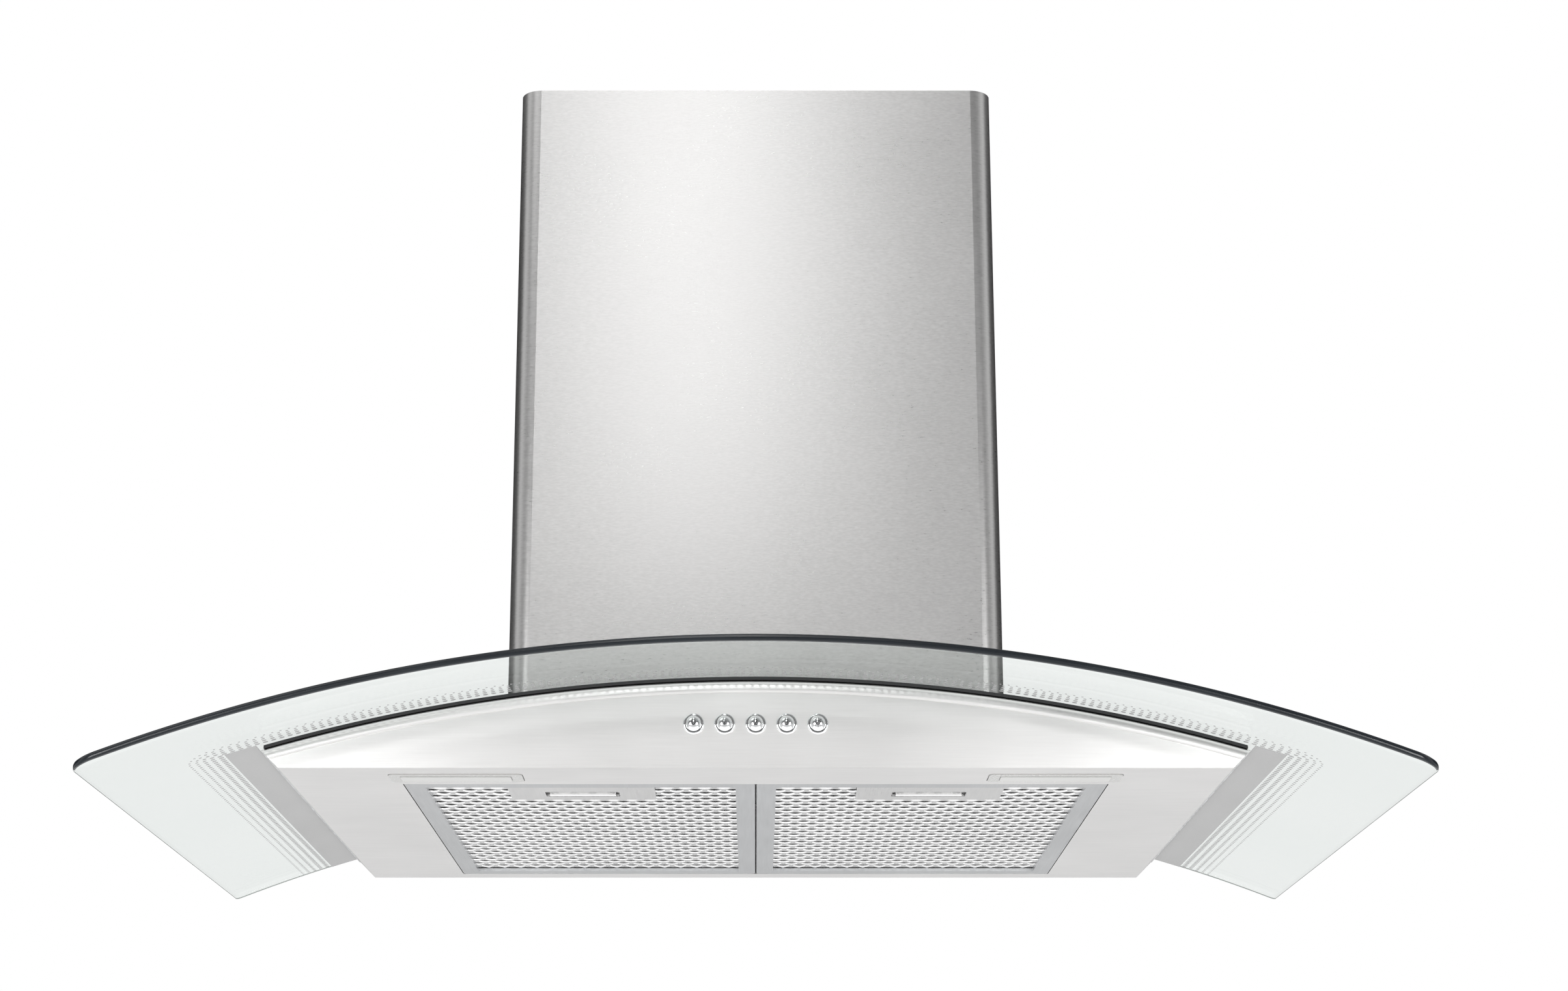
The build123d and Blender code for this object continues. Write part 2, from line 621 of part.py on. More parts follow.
def make_motor_bracket():
    """Ring round the motor with three arms out to the blower's side."""
    x0 = SCROLL_HALF + BUSH_LENGTH
    x1 = x0 + BRACKET_THICK
    ring = rod_x(x0, x1, 0, 0, MOTOR_RADIUS + 7)
    for i in range(3):
        arm = Rot(120 * i, 0, 0) * span(x0, x1, -7, 7, MOTOR_RADIUS, 74)
        ring += arm
    ring -= rod_x(x0 - 1, x1 + 1, 0, 0, MOTOR_RADIUS)
    for y, z in bush_places(BUSH_CIRCLE):
        ring -= rod_x(x0 - 1, x1 + 1, y, z, BUSH_BORE)
    return Pos(0, SCROLL_OFFSET, SCROLL_Z) * ring


def bush_places(radius):
    turns = [math.radians(120 * i) for i in range(3)]
    return [(-radius * math.sin(t), radius * math.cos(t)) for t in turns]


def make_motor_bushes():
    """Rubber bushes between the motor bracket and the blower's side."""
    x0, x1 = SCROLL_HALF, SCROLL_HALF + BUSH_LENGTH
    rings = [
        rod_x(x0, x1, y, z, 6) - rod_x(x0 - 1, x1 + 1, y, z, BUSH_BORE)
        for y, z in bush_places(BUSH_CIRCLE)
    ]
    return Pos(0, SCROLL_OFFSET, SCROLL_Z) * Compound(children=rings)


def make_motor_screws():
    x = SCROLL_HALF + BUSH_LENGTH + BRACKET_THICK
    screws = [
        rod_x(SCROLL_HALF, x, y, z, 2.5) + rod_x(x, x + 3, y, z, 5)
        for y, z in bush_places(BUSH_CIRCLE)
    ]
    return Pos(0, SCROLL_OFFSET, SCROLL_Z) * Compound(children=screws)


def make_outlet_collar():
    top = COLLAR_Z + COLLAR_HEIGHT
    collar = plan(90, 90, BOX_TOP, COLLAR_Z, 8) + rod(0, 0, COLLAR_Z, top, COLLAR_RADIUS)
    collar -= rod(0, 0, BOX_TOP - 1, top + 1, COLLAR_RADIUS - COLLAR_WALL)
    return collar - rod_x(-COLLAR_RADIUS - 5, COLLAR_RADIUS + 5, 0, DAMPER_Z, DAMPER_PIN)


DAMPER_Z = COLLAR_Z + 12
DAMPER_PIN = 2.5
DAMPER_RADIUS = COLLAR_RADIUS - 2.6


def make_damper_pin():
    """The pin stays inside the collar's outside, which the duct slides over."""
    half = COLLAR_RADIUS - 0.2
    return rod_x(-half, half, 0, DAMPER_Z, DAMPER_PIN)


def make_damper_flap(side):
    """Half disc with one sleeve on the pin. side is -1 for the front flap and 1 for the rear one."""
    disc = rod(0, 0, DAMPER_Z - 0.5, DAMPER_Z + 0.5, DAMPER_RADIUS)
    near, far = side * 4.8, side * 90
    flap = disc & span(-90, 90, min(near, far), max(near, far), DAMPER_Z - 2, DAMPER_Z + 2)
    x0, x1 = (-66, -2) if side < 0 else (2, 66)
    flap += span(x0, x1, min(0, side * 6), max(0, side * 6), DAMPER_Z - 0.5, DAMPER_Z + 0.5)
    flap += rod_x(x0, x1, 0, DAMPER_Z, DAMPER_PIN + 1.4)
    return flap - rod_x(x0 - 1, x1 + 1, 0, DAMPER_Z, DAMPER_PIN + 0.08)


SUPPLY_X, SUPPLY_RADIUS = -95.0, 8.0  # hole for the supply cable's gland


def make_terminal_box():
    y0, y1 = -BOX_HALF_Y - 22, -BOX_HALF_Y
    box = span(-130, -60, y0, y1, BOX_TOP - 70, BOX_TOP - 20)
    box -= span(-129, -61, y0 - 1, y1 - 1, BOX_TOP - 69, BOX_TOP - 21)
    return box - rod(SUPPLY_X, (y0 + y1) / 2, BOX_TOP - 25, BOX_TOP - 15, SUPPLY_RADIUS)


def make_terminal_cover():
    y0 = -BOX_HALF_Y - 22
    return span(-130, -60, y0 - 1, y0, BOX_TOP - 70, BOX_TOP - 20)


def make_terminal_strip():
    y1 = -BOX_HALF_Y - 1
    strip = span(-118, -72, y1 - 10, y1, BOX_TOP - 52, BOX_TOP - 38)
    for i in range(4):
        strip -= rod_y(y1 - 11, y1 - 4, -112 + 11.5 * i, BOX_TOP - 45, 2.4)
    return strip


def make_capacitor():
    y0, y1 = BOX_HALF_Y, BOX_HALF_Y + 17
    body = span(-40, 0, y0, y1, BOX_TOP - 60, BOX_TOP - 30)
    return fillet(body.edges().filter_by(Axis.Y), 3)


# ---- Ceiling frame and chimney ------------------------------------------------------------------


def post(x, y, leg, thick, z0, z1):
    """An angle-section post whose outer corner is at x, y."""
    sx, sy = math.copysign(1, x), math.copysign(1, y)
    x_in, y_in = x - sx * leg, y - sy * leg
    along_x = span(min(x, x_in), max(x, x_in), min(y, y - sy * thick), max(y, y - sy * thick), z0, z1)
    along_y = span(min(x, x - sx * thick), max(x, x - sx * thick), min(y, y_in), max(y, y_in), z0, z1)
    return along_x + along_y


BOLT_Z = -48.0
BOLT_Y = POST_Y - 13
LOWER_POST_TOP = -30.0
INNER_POST = POST_THICK + 0.5  # how far the upper posts stand inside the lower ones


def make_lower_post(x, y):
    bolt = rod_x(min(x, 0) - 5, max(x, 0) + 5, math.copysign(BOLT_Y, y), BOLT_Z, 2.6)
    return post(x, y, POST_LEG, POST_THICK, BOX_Z, LOWER_POST_TOP) - bolt


def make_upper_post(x, y):
    """Slotted, so that the clamp bolt can stand anywhere along the travel."""
    sx, sy = math.copysign(1, x), math.copysign(1, y)
    corner = x - sx * INNER_POST, y - sy * INNER_POST
    body = post(*corner, POST_LEG - 5, POST_THICK, -UPPER_LENGTH, PLATE_UNDER)
    slot = span(-POST_X, POST_X, -2.75, 2.75, BOLT_Z - TRAVEL - 4, BOLT_Z + 4)
    return body - Pos(0, sy * BOLT_Y, 0) * (slot & span(min(0, x), max(0, x), -5, 5, -DROP, 0))


def make_clamp_bolts():
    """Bolt, head and nut that clamp each lower post to the upper post inside it."""
    pieces = []
    for x, y in four(POST_X, BOLT_Y):
        s = math.copysign(1, x)

        def along(a, b, radius):
            ends = x + s * a, x + s * b
            return rod_x(min(ends), max(ends), y, BOLT_Z, radius)

        inner = -INNER_POST - POST_THICK
        pieces.append(along(0, 3, 4.5) + along(inner - 4, 0.5, 2.5) + along(inner - 3.5, inner, 4.2))
    return Compound(children=pieces)


PLATE_THICK = 3.0
PLATE_UNDER = -PLATE_THICK
DUCT_HALF = 98.0  # opening in the plate for the duct
CEILING_X, CEILING_Y, CEILING_HOLE = 134.0, 118.0, 4.0
EAR_HALF, EAR_LOW = 50.0, -24.0
EAR_SCREW_Y, EAR_SCREW_Z = (-30.0, 30.0), -15.0


def make_ceiling_plate():
    """Bolts to the ceiling. It is open for the duct and has ears for the upper chimney."""
    half_x, half_y = UPPER_HALF_X - CHIMNEY_SHEET - 0.5, UPPER_HALF_Y - CHIMNEY_SHEET - 0.5
    plate = plan(half_x, half_y, PLATE_UNDER, 0, UPPER_CORNER - 1)
    plate -= plan(DUCT_HALF, DUCT_HALF, -10, 1, 10)
    for s in (-1, 1):
        outer, inner = s * half_x, s * (half_x - 2)
        plate += span(min(outer, inner), max(outer, inner), -EAR_HALF, EAR_HALF, EAR_LOW, PLATE_UNDER)
    for x, y in four(CEILING_X, CEILING_Y):
        plate -= rod(x, y, -10, 1, CEILING_HOLE)
    for y in EAR_SCREW_Y:
        plate -= rod_x(-half_x - 1, half_x + 1, y, EAR_SCREW_Z, 2.1)
    return plate


def tube(half_x, half_y, corner, wall, z0, z1):
    outer = plan(half_x, half_y, z0, z1, corner)
    return outer - plan(half_x - wall, half_y - wall, z0 - 1, z1 + 1, corner - wall)


def make_upper_chimney():
    cover = tube(UPPER_HALF_X, UPPER_HALF_Y, UPPER_CORNER, CHIMNEY_SHEET, -UPPER_LENGTH, 0)
    for y in EAR_SCREW_Y:
        cover -= rod_x(-UPPER_HALF_X - 1, UPPER_HALF_X + 1, y, EAR_SCREW_Z, 2.1)
    return cover


def make_upper_screws():
    """Low-headed screws that hold the upper chimney to the ceiling plate's ears."""
    pieces = []
    for s in (-1, 1):
        for y in EAR_SCREW_Y:
            face = s * UPPER_HALF_X
            head = face, face + s * 1.3
            shank = face, face - s * 8
            screw = rod_x(min(head), max(head), y, EAR_SCREW_Z, 4)
            pieces.append(screw + rod_x(min(shank), max(shank), y, EAR_SCREW_Z, 2.0))
    return Compound(children=pieces)


SEAM_SCREW_Y, SEAM_SCREW_Z = -8.0, (-60.0, -270.0, -465.0)
LIP_REACH = 14.0  # of the rear cover's lips, to each side of the seam


def make_chimney_cover(side):
    """One half of the lower chimney, cut to the arch. The rear half has lips inside the front."""
    half_x, half_y = CHIMNEY_WIDTH / 2, CHIMNEY_DEPTH / 2
    cover = tube(half_x, half_y, CHIMNEY_CORNER, CHIMNEY_SHEET, UNDER, 0)
    seam = 0.15 * side
    far = side * half_y * 1.1
    cover &= span(-half_x - 1, half_x + 1, min(seam, far), max(seam, far), UNDER, 0)
    if side > 0:
        lip = tube(half_x - CHIMNEY_SHEET, half_y, 1.5, 0.8, UNDER, 0)
        cover += lip & span(-half_x, half_x, -LIP_REACH, LIP_REACH, UNDER, 0)
    cover -= below_arch(GLASS_RADIUS + GLASS_THICK + 0.6)
    for z in SEAM_SCREW_Z:
        cover -= rod_x(-half_x - 1, half_x + 1, SEAM_SCREW_Y, z, 1.6)
    return cover


def make_seam_screws():
    """Low-headed screws down both sides of the chimney."""
    pieces = []
    half_x = CHIMNEY_WIDTH / 2
    for s in (-1, 1):
        for z in SEAM_SCREW_Z:
            face = s * half_x
            head = face, face + s * 1.0
            shank = face, face - s * 1.8
            screw = rod_x(min(head), max(head), SEAM_SCREW_Y, z, 3.2)
            pieces.append(screw + rod_x(min(shank), max(shank), SEAM_SCREW_Y, z, 1.5))
    return Compound(children=pieces)


# ---- Write every piece --------------------------------------------------------------------------


def main():
    save("hood_shell", make_hood_shell())
    save("control_panel", make_control_panel())
    save("top_panel", make_top_panel())
    save("glass_gasket", make_gasket())
    save("glass_canopy", make_glass())
    save("stud_grommets", make_grommets())
    save("stud_spacers", make_spacers())
    save("mounting_studs", make_studs())
    for name, x in zip(BUTTON_NAMES, button_places()):
        save(f"button_{name}", make_button(x))
    save("button_bezels", Compound(children=[make_bezel(x) for x in button_places()]))
    save("switch_block", make_switch_block())
    save("switch_bracket", make_switch_bracket())
    save("lamp_housings", make_lamp_housings())
    save("lamp_covers", make_lamp_covers())
    save("lamp_lenses", make_lamp_lenses())
    save("lamp_boards", make_lamp_boards())
    for side_name, side in (("left", -1), ("right", 1)):
        save(f"filter_frame_{side_name}", make_filter_frame(side))
        save(f"filter_mesh_{side_name}", make_filter_pad(side))
        save(f"latch_plate_{side_name}", make_latch_plate(side))
        save(f"latch_slide_{side_name}", make_latch_slide(side))
        save(f"latch_spring_{side_name}", make_latch_spring(side))
        save(f"scroll_{side_name}", make_scroll_half(side))
        save(f"inlet_ring_{side_name}", make_inlet_ring(side))
    save("base_plate", make_base_plate())
    save("throat_duct", make_throat())
    save("blower_box", make_blower_box())
    save("impeller", make_impeller())
    save("motor_shaft", rod_x(-15, MOTOR_X1 - 10, SCROLL_OFFSET, SCROLL_Z, SHAFT_RADIUS))
    save("motor", make_motor())
    save("motor_bracket", make_motor_bracket())
    save("motor_bushes", make_motor_bushes())
    save("motor_screws", make_motor_screws())
    save("outlet_collar", make_outlet_collar())
    save("damper_pin", make_damper_pin())
    save("damper_flap_front", make_damper_flap(-1))
    save("damper_flap_rear", make_damper_flap(1))
    save("terminal_box", make_terminal_box())
    save("terminal_cover", make_terminal_cover())
    save("terminal_strip", make_terminal_strip())
    save("capacitor", make_capacitor())
    save("lower_posts", Compound(children=[make_lower_post(x, y) for x, y in four(POST_X, POST_Y)]))
    save("upper_posts", Compound(children=[make_upper_post(x, y) for x, y in four(POST_X, POST_Y)]))
    save("clamp_bolts", make_clamp_bolts())
    save("ceiling_plate", make_ceiling_plate())
    save("upper_chimney", make_upper_chimney())
    save("upper_chimney_screws", make_upper_screws())
    save("chimney_front", make_chimney_cover(-1))
    save("chimney_rear", make_chimney_cover(1))
    save("chimney_screws", make_seam_screws())


main()
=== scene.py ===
"""Looks of the island range hood.

Steel body, arched glass canopy with printed dots, expanded-metal filters and a fine-grained chimney.
"""

import math  # noqa: E402

import bmesh  # noqa: E402
import bpy  # noqa: E402
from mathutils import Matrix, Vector  # noqa: E402
from mathutils.geometry import delaunay_2d_cdt  # noqa: E402


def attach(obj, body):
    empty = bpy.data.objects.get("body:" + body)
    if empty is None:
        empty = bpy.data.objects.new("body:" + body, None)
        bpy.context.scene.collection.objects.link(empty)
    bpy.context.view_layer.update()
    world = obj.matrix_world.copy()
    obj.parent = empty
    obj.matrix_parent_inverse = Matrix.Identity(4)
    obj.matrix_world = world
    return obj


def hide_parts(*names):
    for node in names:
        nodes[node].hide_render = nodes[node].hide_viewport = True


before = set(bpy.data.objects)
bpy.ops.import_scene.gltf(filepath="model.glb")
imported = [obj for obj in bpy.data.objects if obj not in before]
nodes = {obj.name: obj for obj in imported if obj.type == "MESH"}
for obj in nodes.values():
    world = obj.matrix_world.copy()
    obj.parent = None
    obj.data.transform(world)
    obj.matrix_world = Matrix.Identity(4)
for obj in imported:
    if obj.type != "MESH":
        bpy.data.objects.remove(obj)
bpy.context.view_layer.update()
MM = 0.001

# ---- Sizes, in millimetres, as in the CAD source ----------------------------------------------

UNDER = -560.0
GLASS_RADIUS, GLASS_THICK = 1220.0, 5.0
ARCH_AXIS = UNDER + 65.5 - GLASS_RADIUS
GLASS_HALF, GLASS_FRONT, GLASS_REAR = 450.0, -354.0, 246.0
BODY_FRONT = -250.0

# ---- Mesh helpers -----------------------------------------------------------------------------


def arch(x, radius=GLASS_RADIUS):
    """Height of the arch at x, in millimetres."""
    return ARCH_AXIS + math.sqrt(radius * radius - x * x)


def make_piece(name, verts, faces, body, materials, smooth=False, indices=None):
    """A new mesh piece from points in millimetres, which rides on a body."""
    mesh = bpy.data.meshes.new(name)
    mesh.from_pydata([[c * MM for c in v] for v in verts], [], faces)
    if indices:
        mesh.polygons.foreach_set("material_index", indices)
    for m in materials:
        mesh.materials.append(m)
    bm = bmesh.new()
    bm.from_mesh(mesh)
    bmesh.ops.remove_doubles(bm, verts=bm.verts, dist=1e-7)
    bmesh.ops.recalc_face_normals(bm, faces=bm.faces)
    bm.to_mesh(mesh)
    bm.free()
    obj = bpy.data.objects.new(name, mesh)
    bpy.context.scene.collection.objects.link(obj)
    if smooth:
        mesh.shade_smooth()
        mesh.set_sharp_from_angle(angle=math.radians(35))
    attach(obj, body)
    return obj


class Builder:
    """Collects points and faces."""

    def __init__(self):
        self.verts, self.faces = [], []

    def ring(self, points):
        """Adds points and returns their numbers."""
        first = len(self.verts)
        self.verts.extend(points)
        return list(range(first, first + len(points)))

    def bridge(self, a, b, closed=True):
        """Quads between two rings of the same length."""
        n = len(a)
        for i in range(n if closed else n - 1):
            j = (i + 1) % n
            self.faces.append((a[i], a[j], b[j], b[i]))

    def prism(self, outline, depth):
        """A closed prism: outline points, moved by depth for the far cap."""
        a = self.ring(outline)
        b = self.ring([tuple(p + d for p, d in zip(v, depth)) for v in outline])
        self.bridge(a, b)
        self.faces.append(tuple(reversed(a)))
        self.faces.append(tuple(b))


# ---- Material helpers -------------------------------------------------------------------------


def start(name):
    """An empty node material with a Principled shader on its output."""
    material = bpy.data.materials.new(name)
    material.use_nodes = True
    tree = material.node_tree
    tree.nodes.clear()
    out = tree.nodes.new("ShaderNodeOutputMaterial")
    shader = tree.nodes.new("ShaderNodeBsdfPrincipled")
    tree.links.new(shader.outputs[0], out.inputs[0])
    return material, tree, shader, out


def object_point(tree, scale):
    """Object coordinates, stretched per axis, in units per metre."""
    place = tree.nodes.new("ShaderNodeTexCoord")
    mapping = tree.nodes.new("ShaderNodeMapping")
    mapping.inputs["Scale"].default_value = scale
    tree.links.new(place.outputs["Object"], mapping.inputs["Vector"])
    return mapping.outputs[0]


def noise(tree, scale, detail=2.0):
    node = tree.nodes.new("ShaderNodeTexNoise")
    node.inputs["Scale"].default_value = 1.0
    node.inputs["Detail"].default_value = detail
    tree.links.new(object_point(tree, scale), node.inputs["Vector"])
    return node.outputs["Fac"]


def cells(tree, scale):
    node = tree.nodes.new("ShaderNodeTexVoronoi")
    node.inputs["Scale"].default_value = 1.0
    tree.links.new(object_point(tree, scale), node.inputs["Vector"])
    split = tree.nodes.new("ShaderNodeSeparateColor")
    tree.links.new(node.outputs["Color"], split.inputs[0])
    return split.outputs[0]


def combine(tree, a, b, share):
    """a and b mixed as numbers."""
    mix = tree.nodes.new("ShaderNodeMix")
    mix.inputs[0].default_value = share
    tree.links.new(a, mix.inputs[2])
    tree.links.new(b, mix.inputs[3])
    return mix.outputs[0]


def spread(tree, value, low, high, start_at=0.3, end_at=0.7):
    node = tree.nodes.new("ShaderNodeMapRange")
    node.inputs["From Min"].default_value = start_at
    node.inputs["From Max"].default_value = end_at
    node.inputs["To Min"].default_value = low
    node.inputs["To Max"].default_value = high
    tree.links.new(value, node.inputs["Value"])
    return node.outputs["Result"]


def ramp(tree, value, stops):
    """Colours at places along 0 to 1."""
    node = tree.nodes.new("ShaderNodeValToRGB")
    elements = node.color_ramp.elements
    while len(elements) < len(stops):
        elements.new(0.5)
    for element, (place, colour) in zip(elements, stops):
        element.position = place
        element.color = (*colour, 1.0)
    tree.links.new(value, node.inputs[0])
    return node.outputs[0]


def surface(name, dark, light, rough, grain, broad=9.0, share=0.4, bump=0.0, spangle=None, **sockets):
    """A finish whose colour and roughness move with a fine grain and a broad cloud.

    grain is the grain's frequency per metre along X, Y and Z. sockets are plain numbers for the shader.
    """
    material, tree, shader, _ = start(name)
    fine = noise(tree, grain, 3.0)
    cloud = cells(tree, spangle) if spangle else noise(tree, (broad, broad, broad))
    both = combine(tree, fine, cloud, share)
    colour = ramp(tree, both, [(0.3, dark), (0.7, light)])
    tree.links.new(colour, shader.inputs["Base Color"])
    tree.links.new(spread(tree, both, *rough), shader.inputs["Roughness"])
    if bump:
        node = tree.nodes.new("ShaderNodeBump")
        node.inputs["Strength"].default_value = bump
        node.inputs["Distance"].default_value = 0.0004
        tree.links.new(fine, node.inputs["Height"])
        tree.links.new(node.outputs[0], shader.inputs["Normal"])
    for key, value in sockets.items():
        shader.inputs[key.replace("_", " ")].default_value = value
    return material


def grey(value, warm=0.0):
    return (value * (1 + warm), value, value * (1 - warm))


# ---- Materials of the record's slots ----------------------------------------------------------

FINISHES = {
    "chimney_steel": surface(
        "chimney_steel", grey(0.490, 0.008), grey(0.590, 0.008), (0.27, 0.33), (260, 260, 1000), share=0.25,
        bump=0.022, Metallic=1.0,
    ),
    "body_steel": surface(
        "body_steel", grey(0.885, 0.008), grey(0.945, 0.008), (0.28, 0.33), (24, 240, 1500), share=0.45,
        bump=0.02, Metallic=1.0,
    ),
    "latch_steel": surface(
        "latch_steel", grey(0.72, 0.004), grey(0.80, 0.004), (0.26, 0.34), (900, 30, 900),
        bump=0.03, Metallic=1.0
    ),
    "chrome": surface(
        "chrome", (0.80, 0.81, 0.82), (0.88, 0.885, 0.89), (0.05, 0.12), (160, 160, 160), Metallic=1.0
    ),
    "zinc_steel": surface(
        "zinc_steel", (0.60, 0.61, 0.62), (0.72, 0.73, 0.74), (0.30, 0.42), (300, 300, 300), share=0.5,
        spangle=(110, 110, 110), bump=0.03, Metallic=1.0,
    ),
    "fastener_steel": surface(
        "fastener_steel", grey(0.50, 0.01), grey(0.64, 0.01), (0.22, 0.36), (500, 500, 500),
        bump=0.04, Metallic=1.0
    ),
    "filter_aluminium": surface(
        "filter_aluminium", grey(0.70), grey(0.84), (0.24, 0.36), (420, 420, 420), bump=0.05, Metallic=1.0
    ),
    "frame_aluminium": surface(
        "frame_aluminium", (0.55, 0.56, 0.57), (0.63, 0.64, 0.65), (0.30, 0.38), (900, 22, 900), bump=0.03,
        Metallic=1.0,
    ),
    "damper_aluminium": surface(
        "damper_aluminium", grey(0.58), grey(0.70), (0.34, 0.46), (30, 700, 700), bump=0.04, Metallic=1.0
    ),
    "black_rubber": surface(
        "black_rubber", (0.014, 0.015, 0.016), (0.032, 0.033, 0.035), (0.55, 0.75), (900, 900, 900), bump=0.15
    ),
    "black_plastic": surface(
        "black_plastic", (0.014, 0.014, 0.015), (0.028, 0.028, 0.030), (0.34, 0.48), (1400, 1400, 1400),
        bump=0.10
    ),
    "blower_plastic": surface(
        "blower_plastic", (0.16, 0.165, 0.17), (0.22, 0.225, 0.23), (0.38, 0.52), (1200, 1200, 1200),
        bump=0.10
    ),
    "wheel_plastic": surface(
        "wheel_plastic", (0.020, 0.021, 0.022), (0.045, 0.046, 0.048), (0.36, 0.50), (1200, 1200, 1200),
        bump=0.08
    ),
    "motor_paint": surface(
        "motor_paint", (0.10, 0.11, 0.12), (0.16, 0.17, 0.18), (0.30, 0.42), (700, 700, 700), bump=0.08,
        Metallic=0.35,
    ),
    "white_plastic": surface(
        "white_plastic", (0.70, 0.69, 0.66), (0.80, 0.79, 0.76), (0.34, 0.46), (900, 900, 900), bump=0.05
    ),
    "lamp_frame_plastic": surface(
        "lamp_frame_plastic", (0.44, 0.44, 0.43), (0.50, 0.50, 0.49), (0.20, 0.30), (600, 600, 600),
        bump=0.03, Coat_Weight=0.3,
    ),
    "frosted_glass": surface(
        "frosted_glass", (0.50, 0.50, 0.49), (0.57, 0.57, 0.56), (0.28, 0.40), (1500, 1500, 1500), bump=0.12,
        Coat_Weight=0.4,
    ),
    "circuit_board": surface(
        "circuit_board", (0.60, 0.61, 0.58), (0.78, 0.79, 0.76), (0.30, 0.45), (800, 800, 800), bump=0.05
    ),
}


def edge_glass(name, dark, light, rough, coat):
    """The polished edge of the glass, seen along its length."""
    return surface(name, dark, light, rough, (12, 12, 60), share=0.5, bump=0.01, Coat_Weight=coat)


def clear_glass():
    """Tinted clear glass: a see-through shader under a weak mirror that grows at grazing angles."""
    material, tree, shader, out = start("canopy_glass")
    streaks = combine(tree, noise(tree, (5, 5, 5)), noise(tree, (90, 90, 90)), 0.3)
    tree.links.new(spread(tree, streaks, 0.015, 0.05), shader.inputs["Roughness"])
    shader.inputs["Base Color"].default_value = (0.85, 0.88, 0.87, 1)
    shader.inputs["Metallic"].default_value = 1.0
    through = tree.nodes.new("ShaderNodeBsdfTransparent")
    tint = ramp(tree, streaks, [(0.3, (0.926, 0.942, 0.935)), (0.7, (0.938, 0.950, 0.944))])
    tree.links.new(tint, through.inputs[0])
    facing = tree.nodes.new("ShaderNodeLayerWeight")
    facing.inputs[0].default_value = 0.3
    mirrored = spread(tree, facing.outputs["Facing"], 0.015, 0.10, 0.0, 1.0)
    mix = tree.nodes.new("ShaderNodeMixShader")
    tree.links.new(mirrored, mix.inputs[0])
    tree.links.new(through.outputs[0], mix.inputs[1])
    tree.links.new(shader.outputs[0], mix.inputs[2])
    tree.links.new(mix.outputs[0], out.inputs[0])
    return material


GLASS = clear_glass()
# the front edge is painted near black, far darker than the side and rear edges of the same glass: painted
# shade on the polished edge
PAINTED_DARK_FRONT_EDGE = edge_glass(
    "glass_front_edge_painted_shade", (0.003, 0.005, 0.008), (0.012, 0.017, 0.022), (0.16, 0.28), coat=0.05
)
GLASS_SIDE_EDGE = edge_glass(
    "glass_side_edge", (0.30, 0.32, 0.31), (0.42, 0.44, 0.43), (0.20, 0.30), coat=0.6
)
# the second, upper mesh layer is painted near black as painted shade between the layers, not the aluminium's
# own colour
PAINTED_SHADE_MESH = surface(
    "mesh_painted_shade", grey(0.10), grey(0.20), (0.40, 0.60), (420, 420, 420), bump=0.05, Metallic=1.0
)
FRIT = surface("frit_print", grey(0.31), grey(0.36), (0.50, 0.62), (700, 700, 700), bump=0.05)
ENGRAVED = surface("cap_print", (0.010, 0.011, 0.012), (0.03, 0.03, 0.032), (0.40, 0.55), (2000, 2000, 2000))

for node in nodes.values():
    for held in node.material_slots:
        if held.material and held.material.name in FINISHES:
            held.material = FINISHES[held.material.name]
        elif held.material:
            held.material = FINISHES.get(held.material.name.split(".")[0], GLASS)


# ---- Glass canopy -----------------------------------------------------------------------------

CORNER_STEPS = 10


def rounded_rectangle(x0, x1, y0, y1, front, rear, inset=0.0, step=12.0):
    """Plan outline with its own radius at the front and rear corners. Rings of any inset match."""
    corners = [
        (x1 - rear, y1 - rear, rear, 0),
        (x0 + rear, y1 - rear, rear, 90),
        (x0 + front, y0 + front, front, 180),
        (x1 - front, y0 + front, front, 270),
    ]
    arcs = []
    for cx, cy, radius, turn in corners:
        arc = []
        for i in range(CORNER_STEPS + 1):
            a = math.radians(turn + 90 * i / CORNER_STEPS)
            arc.append((cx, cy, radius, math.cos(a), math.sin(a)))
        arcs.append(arc)
    points = []
    for k, arc in enumerate(arcs):
        points += [(cx + (r - inset) * c, cy + (r - inset) * s) for cx, cy, r, c, s in arc]
        end, begin = arc[-1], arcs[(k + 1) % 4][0]
        a = (end[0] + end[2] * end[3], end[1] + end[2] * end[4])
        b = (begin[0] + begin[2] * begin[3], begin[1] + begin[2] * begin[4])
        count = max(1, round(math.dist(a, b) / step))
        for i in range(1, count):
            t = i / count
            x, y = a[0] + (b[0] - a[0]) * t, a[1] + (b[1] - a[1]) * t
            points.append((x - inset * end[3], y - inset * end[4]))
    return points


def circle(cx, cy, radius, count):
    turns = [2 * math.pi * i / count for i in range(count)]
    return [(cx + radius * math.cos(a), cy + radius * math.sin(a)) for a in turns]


def in_rounded(x, y, half_x, half_y, corner):
    dx, dy = max(abs(x) - half_x + corner, 0), max(abs(y) - half_y + corner, 0)
    return math.hypot(dx, dy) < corner and abs(x) < half_x and abs(y) < half_y


HOLE_HALF_X, HOLE_HALF_Y, HOLE_CORNER = 125.0, 100.0, 15.0
STUD_X, STUD_Y, STUD_HOLE = 140.0, 116.0, 5.0
# inset from the edge and share of the thickness, for a polished edge with eased arrises
EDGE_PROFILE = [(1.5, 0.0), (0.55, 0.09), (0.12, 0.26), (0.0, 0.5), (0.12, 0.74), (0.55, 0.91), (1.5, 1.0)]


